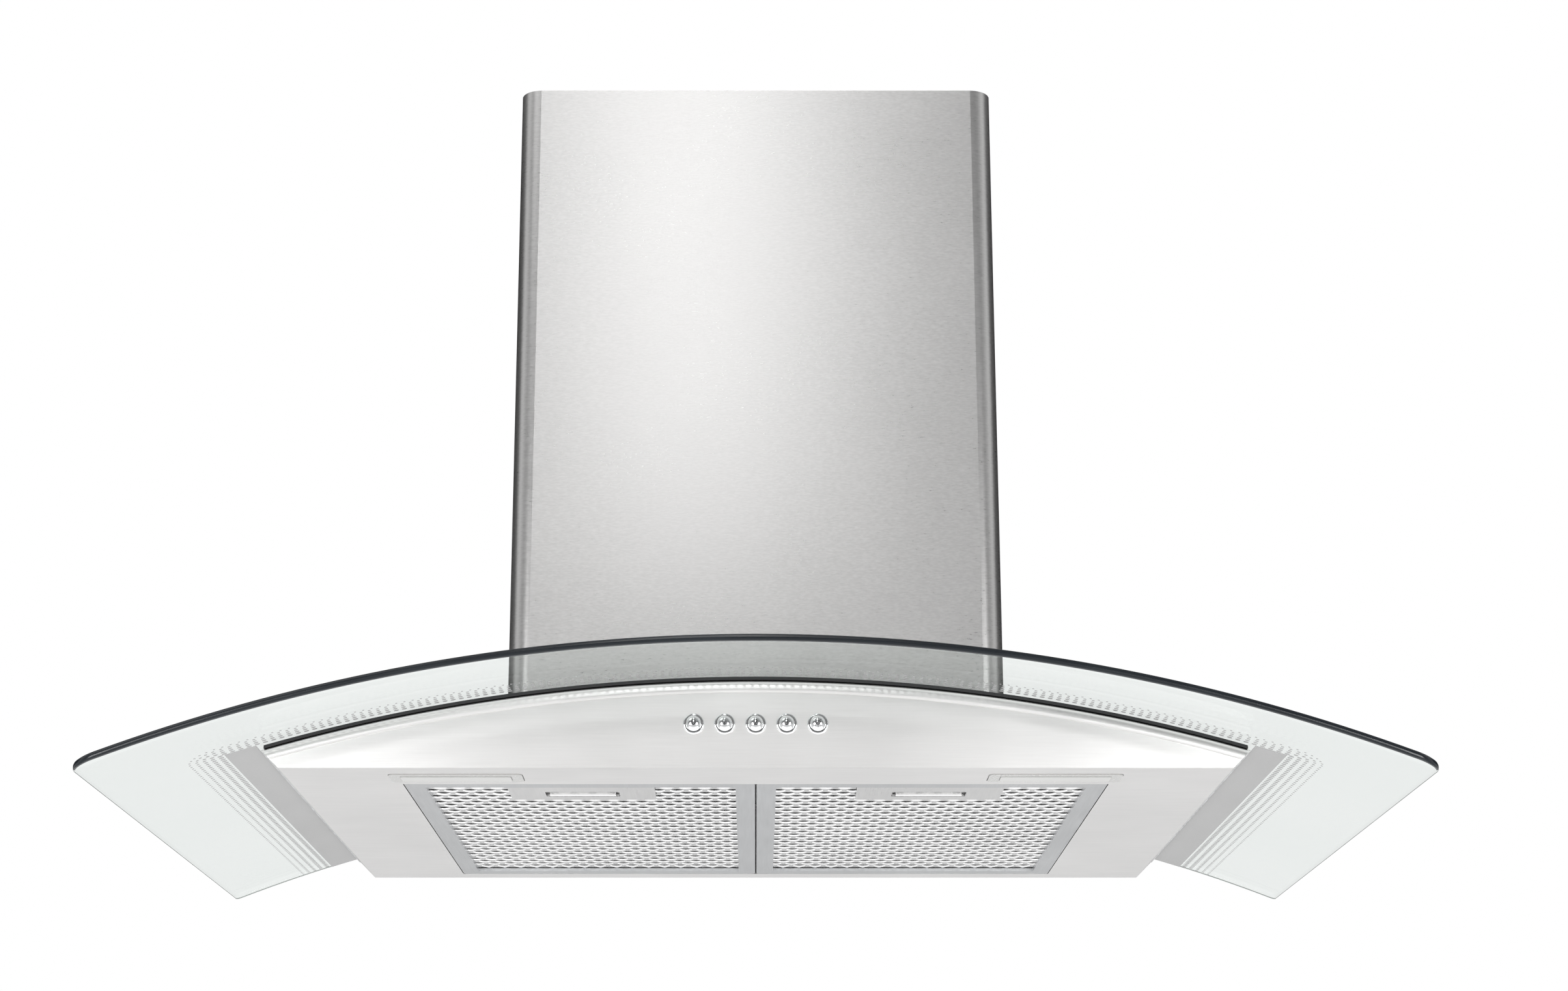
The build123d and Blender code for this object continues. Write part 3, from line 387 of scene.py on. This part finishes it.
def build_canopy():
    build = Builder()
    indices = []
    outline = (-GLASS_HALF, GLASS_HALF, GLASS_FRONT, GLASS_REAR, 16.0, 5.0)
    hole = (-HOLE_HALF_X, HOLE_HALF_X, -HOLE_HALF_Y, HOLE_HALF_Y, HOLE_CORNER, HOLE_CORNER)
    studs = [(x, y) for x in (-STUD_X, STUD_X) for y in (-STUD_Y, STUD_Y)]
    arris = EDGE_PROFILE[0][0]
    loops = [rounded_rectangle(*outline, arris), rounded_rectangle(*hole)]
    loops += [circle(x, y, STUD_HOLE, 24) for x, y in studs]
    points, edges = [], []
    for loop in loops:
        first = len(points)
        points += loop
        edges += [(first + i, first + (i + 1) % len(loop)) for i in range(len(loop))]
    rim = len(points)
    for i in range(-29, 30):
        for j in range(-8, 9):
            x, y = i * 15.0, (GLASS_FRONT + GLASS_REAR) / 2 + j * 35.0
            near = abs(x) > GLASS_HALF - 8 or abs(y + 54) > 292
            if not near and not in_rounded(x, y, HOLE_HALF_X + 6, HOLE_HALF_Y + 6, HOLE_CORNER + 4):
                if all(math.dist((x, y), s) > STUD_HOLE + 5 for s in studs):
                    points.append((x, y))
    flat = delaunay_2d_cdt([Vector(p) for p in points], edges, [], 0, 1e-4)
    placed, triangles = flat[0], flat[2]
    if len(placed) != len(points):
        raise RuntimeError("the canopy's plan outline crosses itself")
    order = {}
    for new, olds in enumerate(flat[3]):
        for old in olds:
            order[old] = new
    low = build.ring([(p.x, p.y, arch(p.x)) for p in placed])
    high = build.ring([(p.x, p.y, arch(p.x, GLASS_RADIUS + GLASS_THICK)) for p in placed])
    for tri in triangles:
        cx = sum(placed[i].x for i in tri) / 3
        cy = sum(placed[i].y for i in tri) / 3
        in_hole = in_rounded(cx, cy, HOLE_HALF_X, HOLE_HALF_Y, HOLE_CORNER)
        in_stud = any(math.dist((cx, cy), s) < STUD_HOLE for s in studs)
        middle = (GLASS_FRONT + GLASS_REAR) / 2
        outside = not in_rounded(cx, cy - middle, GLASS_HALF - arris, 300 - arris, 3.0)
        if in_hole or in_stud or outside:
            continue
        build.faces.append(tuple(low[i] for i in reversed(tri)))
        build.faces.append(tuple(high[i] for i in tri))
        indices += [0, 0]

    def lofted(plan_of, profile, first, count, edge):
        rings = [[low[order[first + i]] for i in range(count)]]
        for inset, share in profile[1:-1]:
            radius = GLASS_RADIUS + GLASS_THICK * share
            rings.append(build.ring([(x, y, arch(x, radius)) for x, y in plan_of(inset)]))
        rings.append([high[order[first + i]] for i in range(count)])
        for level, (a, b) in enumerate(zip(rings, rings[1:])):
            build.bridge(a, b)
            ring = plan_of(0)
            for i in range(count):
                p, q = ring[i], ring[(i + 1) % count]
                facing = (q[0] - p[0]) / max(math.dist(p, q), 1e-6)
                line = 2 if level == 1 else 0
                # edge faces that run across the front take the painted-shade dark edge; the side and rear
                # edges stay light
                indices.append(0 if not edge else (1 if facing > 0.35 else line))

    at = len(loops[0])
    lofted(lambda inset: rounded_rectangle(*outline, inset), EDGE_PROFILE, 0, at, True)
    for loop in loops[1:]:
        lofted(lambda inset, ring=loop: ring, [(0, 0), (0, 1)], at, len(loop), False)
        at += len(loop)
    if at != rim:
        raise RuntimeError("the canopy's loops don't add up")
    materials = [GLASS, PAINTED_DARK_FRONT_EDGE, GLASS_SIDE_EDGE]
    piece = make_piece(
        "canopy", build.verts, build.faces, "hood", materials, smooth=True, indices=indices
    )
    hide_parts("glass_canopy")
    return piece


canopy = build_canopy()

# ---- Control panel and gasket, with smooth arches -----------------------------------------------

PANEL_RADIUS = GLASS_RADIUS - 1.5
PANEL_HALF, PANEL_SPAN, PANEL_COLUMNS = 331.0, 346.0, 160
ROLL, ROLL_LINE, SHEET = 6.0, 11.5, 1.0
LIP_DROP = 0.8  # how far the gasket's front lip hangs over the panel's roll
BUTTON_Z, BUTTON_PITCH, BUTTON_HOLE = -529.0, 21.6, 6.5
BUTTON_X = [(i - 2) * BUTTON_PITCH for i in range(5)]


def panel_profile():
    """Depth and drop below the arch: from the face over crease and rolled edge to the flange and back."""
    points = [(0.95, 11.5), (0.95, 10.4), (-0.1, 10.2), (-0.4, 9.4), (-0.5, 8.0)]
    for i in range(9):
        a = math.radians(90 * i / 8)
        points.append((ROLL - 6.4 * math.cos(a), 6.7 - 5.6 * math.sin(a)))
    points += [(18.0, 0.0), (18.0, SHEET), (ROLL, SHEET)]
    for i in range(1, 9):
        a = math.radians(90 - 90 * i / 8)
        points.append((ROLL - (ROLL - SHEET) * math.cos(a), ROLL - (ROLL - SHEET) * math.sin(a)))
    return points


def build_panel():
    build = Builder()
    xs = [PANEL_SPAN * (2 * i / PANEL_COLUMNS - 1) for i in range(PANEL_COLUMNS + 1)]
    low_edge = [(x, UNDER) for x in xs]
    high_edge = [(x, arch(x, PANEL_RADIUS) - ROLL_LINE) for x in xs]
    loops = [low_edge + high_edge[::-1]] + [circle(x, BUTTON_Z, BUTTON_HOLE, 32) for x in BUTTON_X]
    points, edges = [], []
    for loop in loops:
        first = len(points)
        points += loop
        edges += [(first + i, first + (i + 1) % len(loop)) for i in range(len(loop))]
    flat = delaunay_2d_cdt([Vector(p) for p in points], edges, [], 0, 1e-4)
    order = {old: new for new, olds in enumerate(flat[3]) for old in olds}
    face = build.ring([(p.x, BODY_FRONT, p.y) for p in flat[0]])
    back = build.ring([(p.x, BODY_FRONT + SHEET, p.y) for p in flat[0]])
    for tri in flat[2]:
        cx, cz = (sum(flat[0][i][k] for i in tri) / 3 for k in (0, 1))
        if all(math.dist((cx, cz), (x, BUTTON_Z)) > BUTTON_HOLE for x in BUTTON_X):
            build.faces.append(tuple(face[i] for i in tri))
            build.faces.append(tuple(back[i] for i in reversed(tri)))
    n = len(xs)
    build.bridge([face[order[i]] for i in range(n)], [back[order[i]] for i in range(n)], closed=False)
    at = 2 * n
    for loop in loops[1:]:
        numbers = [order[at + i] for i in range(len(loop))]
        build.bridge([face[i] for i in numbers], [back[i] for i in numbers])
        at += len(loop)
    rows = [[face[order[2 * n - 1 - i]] for i in range(n)]]
    for depth, drop in panel_profile():
        rows.append(build.ring([(x, BODY_FRONT + depth, arch(x, PANEL_RADIUS) - drop) for x in xs]))
    rows.append([back[order[2 * n - 1 - i]] for i in range(n)])
    for a, b in zip(rows, rows[1:]):
        build.bridge(a, b, closed=False)
    piece = make_piece("panel", build.verts, build.faces, "hood", [FINISHES["body_steel"]])
    bm = bmesh.new()
    bm.from_mesh(piece.data)
    for side in (-1, 1):
        cut = bmesh.ops.bisect_plane(
            bm,
            geom=bm.verts[:] + bm.edges[:] + bm.faces[:],
            plane_co=Vector((side * PANEL_HALF, 0, UNDER)) * MM,
            plane_no=Vector((side, 0, -1)),
            clear_outer=True,
        )
        rim = [e for e in cut["geom_cut"] if isinstance(e, bmesh.types.BMEdge)]
        bmesh.ops.edgeloop_fill(bm, edges=rim)
    bmesh.ops.remove_doubles(bm, verts=bm.verts, dist=1e-7)
    bmesh.ops.recalc_face_normals(bm, faces=bm.faces)
    if any(not e.is_manifold for e in bm.edges):
        raise RuntimeError("the panel is open")
    bm.to_mesh(piece.data)
    bm.free()
    piece.data.shade_smooth()
    piece.data.set_sharp_from_angle(angle=math.radians(30))
    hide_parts("control_panel")


def build_gasket():
    """A rubber frame between the steel top and the glass."""
    outer_x, width, y0, y1 = 342.1, 12.0, BODY_FRONT + 3, GLASS_REAR - 1
    inner_x = outer_x - width
    xs = [-outer_x] + [inner_x * (2 * i / 100 - 1) for i in range(101)] + [outer_x]
    ys = [y0, y0 + width, y1 - width, y1]
    build = Builder()
    low = [build.ring([(x, y, arch(x, PANEL_RADIUS) - (LIP_DROP if y == y0 else 0)) for x in xs]) for y in ys]
    high = [build.ring([(x, y, arch(x, GLASS_RADIUS - 0.02)) for x in xs]) for y in ys]
    grids = (low, high)
    last_x, last_y = len(xs) - 2, len(ys) - 2

    def kept(i, j):
        return 0 <= i <= last_x and 0 <= j <= last_y and (i in (0, last_x) or j in (0, last_y))

    for i in range(last_x + 1):
        for j in range(last_y + 1):
            if not kept(i, j):
                continue
            for grid in grids:
                build.faces.append((grid[j][i], grid[j][i + 1], grid[j + 1][i + 1], grid[j + 1][i]))
            ring = [(i, j), (i + 1, j), (i + 1, j + 1), (i, j + 1)]
            beside = [(i, j - 1), (i + 1, j), (i, j + 1), (i - 1, j)]
            for k in range(4):
                if not kept(*beside[k]):
                    (a, b), (c, d) = ring[k], ring[(k + 1) % 4]
                    build.faces.append((low[b][a], low[d][c], high[d][c], high[b][a]))
    piece = make_piece(
        "gasket", build.verts, build.faces, "hood", [FINISHES["black_rubber"]], smooth=True
    )
    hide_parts("glass_gasket")


build_panel()
build_gasket()

# ---- Printed frit: a band beside the body, and rows of shrinking dots round it ------------------

FRIT_IN, FRIT_OUT, FRIT_FRONT, FRIT_DEEP = 346.5, 368.0, -252.0, 0.2
DOT_ROWS = [(3.0, 3.5), (8.4, 3.0), (13.6, 2.5), (18.6, 2.0), (23.4, 1.5)]  # distance, diameter
DOT_PITCH, DOT_SIDES = 5.6, 10


def under_glass(x, y, down):
    return (x, y, arch(x) - 0.03 - down)


def build_band():
    build = Builder()
    for side in (-1, 1):
        rings = []
        columns = [side * (FRIT_IN + (FRIT_OUT - FRIT_IN) * i / 3) for i in range(4)]
        for j in range(42):
            y = FRIT_FRONT + (GLASS_REAR - 2 - FRIT_FRONT) * j / 41
            upper = [under_glass(x, y, 0) for x in columns]
            lower = [under_glass(x, y, FRIT_DEEP) for x in reversed(columns)]
            rings.append(build.ring(upper + lower))
        for a, b in zip(rings, rings[1:]):
            build.bridge(a, b)
        build.faces.append(tuple(rings[0]))
        build.faces.append(tuple(reversed(rings[-1])))
    return make_piece("frit_band", build.verts, build.faces, "hood", [FRIT])


def dot_row(away):
    """Points every pitch along the rear-to-front-to-rear path that runs a distance outside the band."""
    right, front = FRIT_OUT, FRIT_FRONT
    path = [(right + away, GLASS_REAR - 4.0)]
    path.append((right + away, front))
    for i in range(1, 9):
        a = math.radians(-90 * i / 8)
        path.append((right + away * math.cos(a), front + away * math.sin(a)))
    path.append((-right, front - away))
    for i in range(1, 9):
        a = math.radians(-90 - 90 * i / 8)
        path.append((-right + away * math.cos(a), front + away * math.sin(a)))
    path.append((-right - away, GLASS_REAR - 4.0))
    lengths = [math.dist(a, b) for a, b in zip(path, path[1:])]
    return path, lengths, sum(lengths)


def build_dots():
    build = Builder()
    for row, (away, size) in enumerate(DOT_ROWS):
        path, lengths, total = dot_row(away)
        count = int(total / DOT_PITCH)
        for i in range(count):
            s = (i + (0.5 if row % 2 else 0.0)) * total / count
            for a, b, length in zip(path, path[1:], lengths):
                if s <= length:
                    t = s / length
                    x, y = a[0] + (b[0] - a[0]) * t, a[1] + (b[1] - a[1]) * t
                    break
                s -= length
            disc = [under_glass(px, py, 0) for px, py in circle(x, y, size / 2, DOT_SIDES)]
            build.prism(disc, (0, 0, -FRIT_DEEP))
    return make_piece("frit_dots", build.verts, build.faces, "hood", [FRIT])


build_band()
build_dots()

# ---- Expanded aluminium filters ---------------------------------------------------------------

PAD_IN, PAD_OUT, PAD_FRONT, PAD_REAR = 9.6, 242.4, -179.4, 219.4
COLUMNS, ROWS = 17, 33
PITCH_X, PITCH_Y = (PAD_OUT - PAD_IN) / COLUMNS, (PAD_REAR - PAD_FRONT) / ROWS
HOLE_X, HOLE_Y, HOLE_POWER = 5.3, 4.6, 1.5
# height, thickness, crown of the strands, rows shifted or not, wider holes
MESH_LAYERS = [(-556.5, 0.45, 0.75, 0, 0.0), (-554.6, 0.45, 0.0, 1, 0.35)]


def hole_outline(cx, cy, grow):
    """Twelve points round a lens-shaped hole, matched to the twelve points of its brick."""
    points = []
    for i in range(12):
        a = 2 * math.pi * i / 12
        c, s = math.cos(a), math.sin(a)
        x = math.copysign(abs(c) ** (2 / HOLE_POWER), c) * (HOLE_X + grow)
        y = math.copysign(abs(s) ** (2 / HOLE_POWER), s) * (HOLE_Y + grow)
        points.append((cx + x, cy + y))
    return points


def brick_outline(cx, cy):
    """Points at quarter widths along top and bottom, so that rows half a brick apart share them."""
    w, h = PITCH_X / 2, PITCH_Y / 2
    corner = [(w, 0), (w, h), (w / 2, h), (0, h), (-w / 2, h), (-w, h)]
    return [(cx + x, cy + y) for x, y in corner + [(-x, -y) for x, y in corner]]


def expanded_sheet(build, side, z, thick, crown, shift, open_by):
    """One layer of expanded metal, its strands raised by crown on the side that faces down.

    shift moves the rows by half a hole, and open_by widens the holes.
    """
    for row in range(ROWS):
        cy = PAD_FRONT + (row + 0.5) * PITCH_Y
        offset = (row + shift) % 2 == 1
        count = COLUMNS - 1 if offset else COLUMNS
        for k in range(count):
            cx = PAD_IN + (k + (1.0 if offset else 0.5)) * PITCH_X
            brick = [(side * x, y) for x, y in brick_outline(cx, cy)]
            outer = [(side * x, y) for x, y in hole_outline(cx, cy, open_by + 0.7)]
            inner = [(side * x, y) for x, y in hole_outline(cx, cy, open_by)]
            rings = [build.ring([(x, y, z - crown) for x, y in brick])]
            rings.append(build.ring([(x, y, z - crown * 0.75) for x, y in outer]))
            rings.append(build.ring([(x, y, z) for x, y in inner]))
            rings.append(build.ring([(x, y, z + thick) for x, y in inner]))
            rings.append(build.ring([(x, y, z + thick) for x, y in brick]))
            for a, b in zip(rings, rings[1:]):
                build.bridge(a, b)
        if offset:
            for edge, ahead in ((PAD_IN, 1), (PAD_OUT, -1)):
                y0, y1 = cy - PITCH_Y / 2, cy + PITCH_Y / 2
                xs = [side * (edge + ahead * PITCH_X / 4 * i) for i in range(3)]
                low = [(x, y0) for x in xs] + [(xs[2], cy)] + [(x, y1) for x in reversed(xs)]
                a = build.ring([(x, y, z - crown) for x, y in low])
                b = build.ring([(x, y, z + thick) for x, y in low])
                build.faces.append(tuple(reversed(a)))
                build.faces.append(tuple(b))


def close_rim(obj, middle):
    """Walls between the rims of a layer's lower and upper faces."""
    bm = bmesh.new()
    bm.from_mesh(obj.data)
    rim = [e for e in bm.edges if e.is_boundary]
    partner = {}
    for e in rim:
        for v in e.verts:
            partner[(round(v.co.x, 6), round(v.co.y, 6), v.co.z > middle * MM)] = v
    for e in rim:
        a, b = e.verts
        if a.co.z < middle * MM:
            far = [partner[(round(v.co.x, 6), round(v.co.y, 6), True)] for v in (b, a)]
            bm.faces.new((a, b, *far))
    bmesh.ops.recalc_face_normals(bm, faces=bm.faces)
    left = sum(not e.is_manifold for e in bm.edges)
    bm.to_mesh(obj.data)
    bm.free()
    if left:
        raise RuntimeError(f"{obj.name} is open at {left} edges")


def build_filter(name, side):
    for layer, (z, thick, crown, *pattern) in enumerate(MESH_LAYERS):
        build = Builder()
        expanded_sheet(build, side, z, thick, crown, *pattern)
        body = "filter_" + name
        label = f"expanded_{name}_{layer + 1}"
        # the second layer gets the near-black painted-shade finish
        finish = PAINTED_SHADE_MESH if layer else FINISHES["filter_aluminium"]
        piece = make_piece(label, build.verts, build.faces, body, [finish], smooth=True)
        close_rim(piece, z + thick / 4)
        if layer == 0:
            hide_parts(f"filter_mesh_{name}")


build_filter("left", -1)
build_filter("right", 1)

# ---- Numbers and lamp sign on the button caps -------------------------------------------------

BUTTON_FACE = -255.8
# radius and depth behind the face: a dome, the cap's skirt and the stem
CAP_PROFILE = [
    (0.9, 0.03), (1.8, 0.12), (2.7, 0.30), (3.5, 0.58), (4.2, 0.95), (4.8, 1.45), (5.25, 2.1), (5.5, 2.9),
    (5.6, 3.8), (5.6, 10.0), (5.5, 10.3), (4.0, 10.3), (4.0, 22.8),
]
BUTTON_SIGNS = [("off", "0"), ("low", "1"), ("medium", "2"), ("high", "3"), ("light", "")]


def button_cap(body, x):
    """A domed cap with its stem, turned round the button's axis."""
    build = Builder()
    rings = []
    for radius, depth in CAP_PROFILE:
        ring = [(x + px, BUTTON_FACE + depth, BUTTON_Z + pz) for px, pz in circle(0, 0, radius, 40)]
        rings.append(build.ring(ring))
    for a, b in zip(rings, rings[1:]):
        build.bridge(a, b)
    tip = build.ring([(x, BUTTON_FACE, BUTTON_Z)])[0]
    first = rings[0]
    build.faces += [(first[i], first[(i + 1) % len(first)], tip) for i in range(len(first))]
    build.faces.append(tuple(rings[-1]))
    piece = make_piece(
        "cap_" + body, build.verts, build.faces, "button_" + body, [FINISHES["chrome"]], smooth=True
    )
    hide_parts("button_" + body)


def number_piece(body, text, x):
    """A raised numeral on a cap, turned to face the front."""
    curve = bpy.data.curves.new("sign_" + body, "FONT")
    curve.body = text
    curve.align_x, curve.align_y = "CENTER", "CENTER"
    curve.size, curve.extrude = 6.2 * MM, 0.35 * MM
    curve.resolution_u = 4
    shaped = bpy.data.objects.new("shape_" + body, curve)
    bpy.context.scene.collection.objects.link(shaped)
    bpy.context.view_layer.update()
    mesh = bpy.data.meshes.new_from_object(shaped.evaluated_get(bpy.context.evaluated_depsgraph_get()))
    bpy.data.objects.remove(shaped)
    for v in mesh.vertices:
        across, up, out = v.co
        v.co = (across + x * MM, (BUTTON_FACE + 0.28) * MM - out, up + BUTTON_Z * MM)
    piece = bpy.data.objects.new("numeral_" + body, mesh)
    bpy.context.scene.collection.objects.link(piece)
    mesh.materials.clear()
    mesh.materials.append(ENGRAVED)
    bm = bmesh.new()
    bm.from_mesh(mesh)
    bmesh.ops.remove_doubles(bm, verts=bm.verts, dist=1e-7)
    bmesh.ops.recalc_face_normals(bm, faces=bm.faces)
    bm.to_mesh(mesh)
    bm.free()
    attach(piece, "button_" + body)


def lamp_sign(body, x):
    """A ring with eight rays."""
    build = Builder()
    y0, deep = BUTTON_FACE - 0.06, 0.7

    def ring(radius, y):
        return [(x + px, y, BUTTON_Z + pz) for px, pz in circle(0, 0, radius, 24)]

    section = [(1.35, y0), (1.75, y0), (1.75, y0 + deep), (1.35, y0 + deep)]
    rings = [build.ring(ring(r, y)) for r, y in section]
    for a, b in zip(rings, rings[1:] + rings[:1]):
        build.bridge(a, b)
    for k in range(8):
        a = math.pi * k / 4
        c, s = math.cos(a), math.sin(a)
        corners = [(2.2, -0.17), (3.2, -0.17), (3.2, 0.17), (2.2, 0.17)]
        outline = [(x + r * c - w * s, y0, BUTTON_Z + r * s + w * c) for r, w in corners]
        build.prism(outline, (0, deep, 0))
    make_piece("sign_" + body, build.verts, build.faces, "button_" + body, [ENGRAVED])


for i, (body, text) in enumerate(BUTTON_SIGNS):
    x = BUTTON_X[i]
    button_cap(body, x)
    if text:
        number_piece(body, text, x)
    else:
        lamp_sign(body, x)

# ---- Floor, light and camera ------------------------------------------------------------------


def stage_floor():
    """A pale floor below the hood, slightly uneven in tone, with a little glow of its own."""
    mesh = bpy.data.meshes.new("floor")
    far, floor_z = 90.0, -1.75
    corners = [(-far, -far, floor_z), (far, -far, floor_z), (far, far, floor_z), (-far, far, floor_z)]
    mesh.from_pydata(corners, [], [(0, 1, 2, 3)])
    paint = surface(
        "floor_paint", grey(0.72), grey(0.76), (0.6, 0.7), (30, 30, 30), Emission_Strength=0.13
    )
    mesh.materials.append(paint)
    floor = bpy.data.objects.new("floor", mesh)
    bpy.context.scene.collection.objects.link(floor)


def area_light(name, place, target, size, power, colour=(1, 1, 1)):
    data = bpy.data.lights.new(name, "AREA")
    data.shape = "RECTANGLE"
    data.size, data.size_y = size
    data.energy = power
    data.color = colour
    light = bpy.data.objects.new(name, data)
    bpy.context.scene.collection.objects.link(light)
    light.location = place
    light.rotation_euler = (Vector(target) - Vector(place)).to_track_quat("-Z", "Y").to_euler()
    light.visible_camera = False
    return light


# brightness from the front, -Y, to the back
WORLD_TONES = [
    (0.0, grey(0.24)), (0.15, grey(0.30)), (0.36, grey(0.85)),
    (0.6, grey(0.95)), (0.88, grey(0.80)), (1.0, grey(0.20)),
]


# how dark the studio is at each height, behind and at the sides: a band just above the horizon
BAND_TONES = [(0.51, grey(0.0)), (0.57, grey(1.0)), (0.72, grey(1.0)), (0.80, grey(0.0))]


def studio_world():
    """White to the camera. Other rays see WORLD_TONES from front to back, with a dark band at the rear."""
    world = bpy.data.worlds.new("studio")
    bpy.context.scene.world = world
    world.use_nodes = True
    tree = world.node_tree
    tree.nodes.clear()
    out = tree.nodes.new("ShaderNodeOutputWorld")
    seen, lit = tree.nodes.new("ShaderNodeBackground"), tree.nodes.new("ShaderNodeBackground")
    seen.inputs[0].default_value = (1, 1, 1, 1)
    place = tree.nodes.new("ShaderNodeTexCoord")
    split = tree.nodes.new("ShaderNodeSeparateXYZ")
    tree.links.new(place.outputs["Generated"], split.inputs[0])
    depth = spread(tree, split.outputs[1], 0.0, 1.0, -1.0, 1.0)
    behind = spread(tree, split.outputs[1], 0.0, 1.0, -0.15, 0.15)
    height = spread(tree, split.outputs[2], 0.0, 1.0, -1.0, 1.0)
    level = ramp(tree, height, BAND_TONES)
    shade = tree.nodes.new("ShaderNodeMath")
    shade.operation = "MULTIPLY"
    tree.links.new(behind, shade.inputs[0])
    tree.links.new(level, shade.inputs[1])
    dim = spread(tree, shade.outputs[0], 1.0, 0.06, 0.0, 1.0)
    tree.links.new(ramp(tree, depth, WORLD_TONES), lit.inputs[0])
    tree.links.new(dim, lit.inputs[1])
    path = tree.nodes.new("ShaderNodeLightPath")
    mix = tree.nodes.new("ShaderNodeMixShader")
    tree.links.new(path.outputs["Is Camera Ray"], mix.inputs[0])
    tree.links.new(lit.outputs[0], mix.inputs[1])
    tree.links.new(seen.outputs[0], mix.inputs[2])
    tree.links.new(mix.outputs[0], out.inputs[0])


def stage_camera():
    data = bpy.data.cameras.new("camera")
    data.lens, data.sensor_width = 62.3, 36.0
    data.shift_x, data.shift_y = 0.018, 0.04
    camera = bpy.data.objects.new("camera", data)
    bpy.context.scene.collection.objects.link(camera)
    camera.location = (0.0, -2.100, -0.919)
    camera.rotation_euler = (math.radians(90 + 15.4), 0.0, 0.0)
    bpy.context.scene.camera = camera


bpy.context.scene.view_settings.view_transform = "Standard"
stage_floor()
studio_world()
# name, place, target, size (all metres), power in watts
area_light("strip", (-0.13, -3.2, 1.74), (-0.13, 0.0, 1.74), (0.30, 2.72), 13.2)
area_light("low_left", (-1.45, -3.2, -0.50), (-1.45, 0.0, -0.50), (1.1, 0.9), 22.0)
area_light("low_right", (1.45, -3.2, -0.50), (1.45, 0.0, -0.50), (1.1, 0.9), 26.0)
area_light("below", (0.0, -0.2, -1.70), (0.0, -0.1999, 0.0), (3.4, 3.4), 34.0)
area_light("key", (-1.6, -2.6, 1.9), (0.0, 0.0, -0.3), (1.6, 1.6), 8.0)
stage_camera()
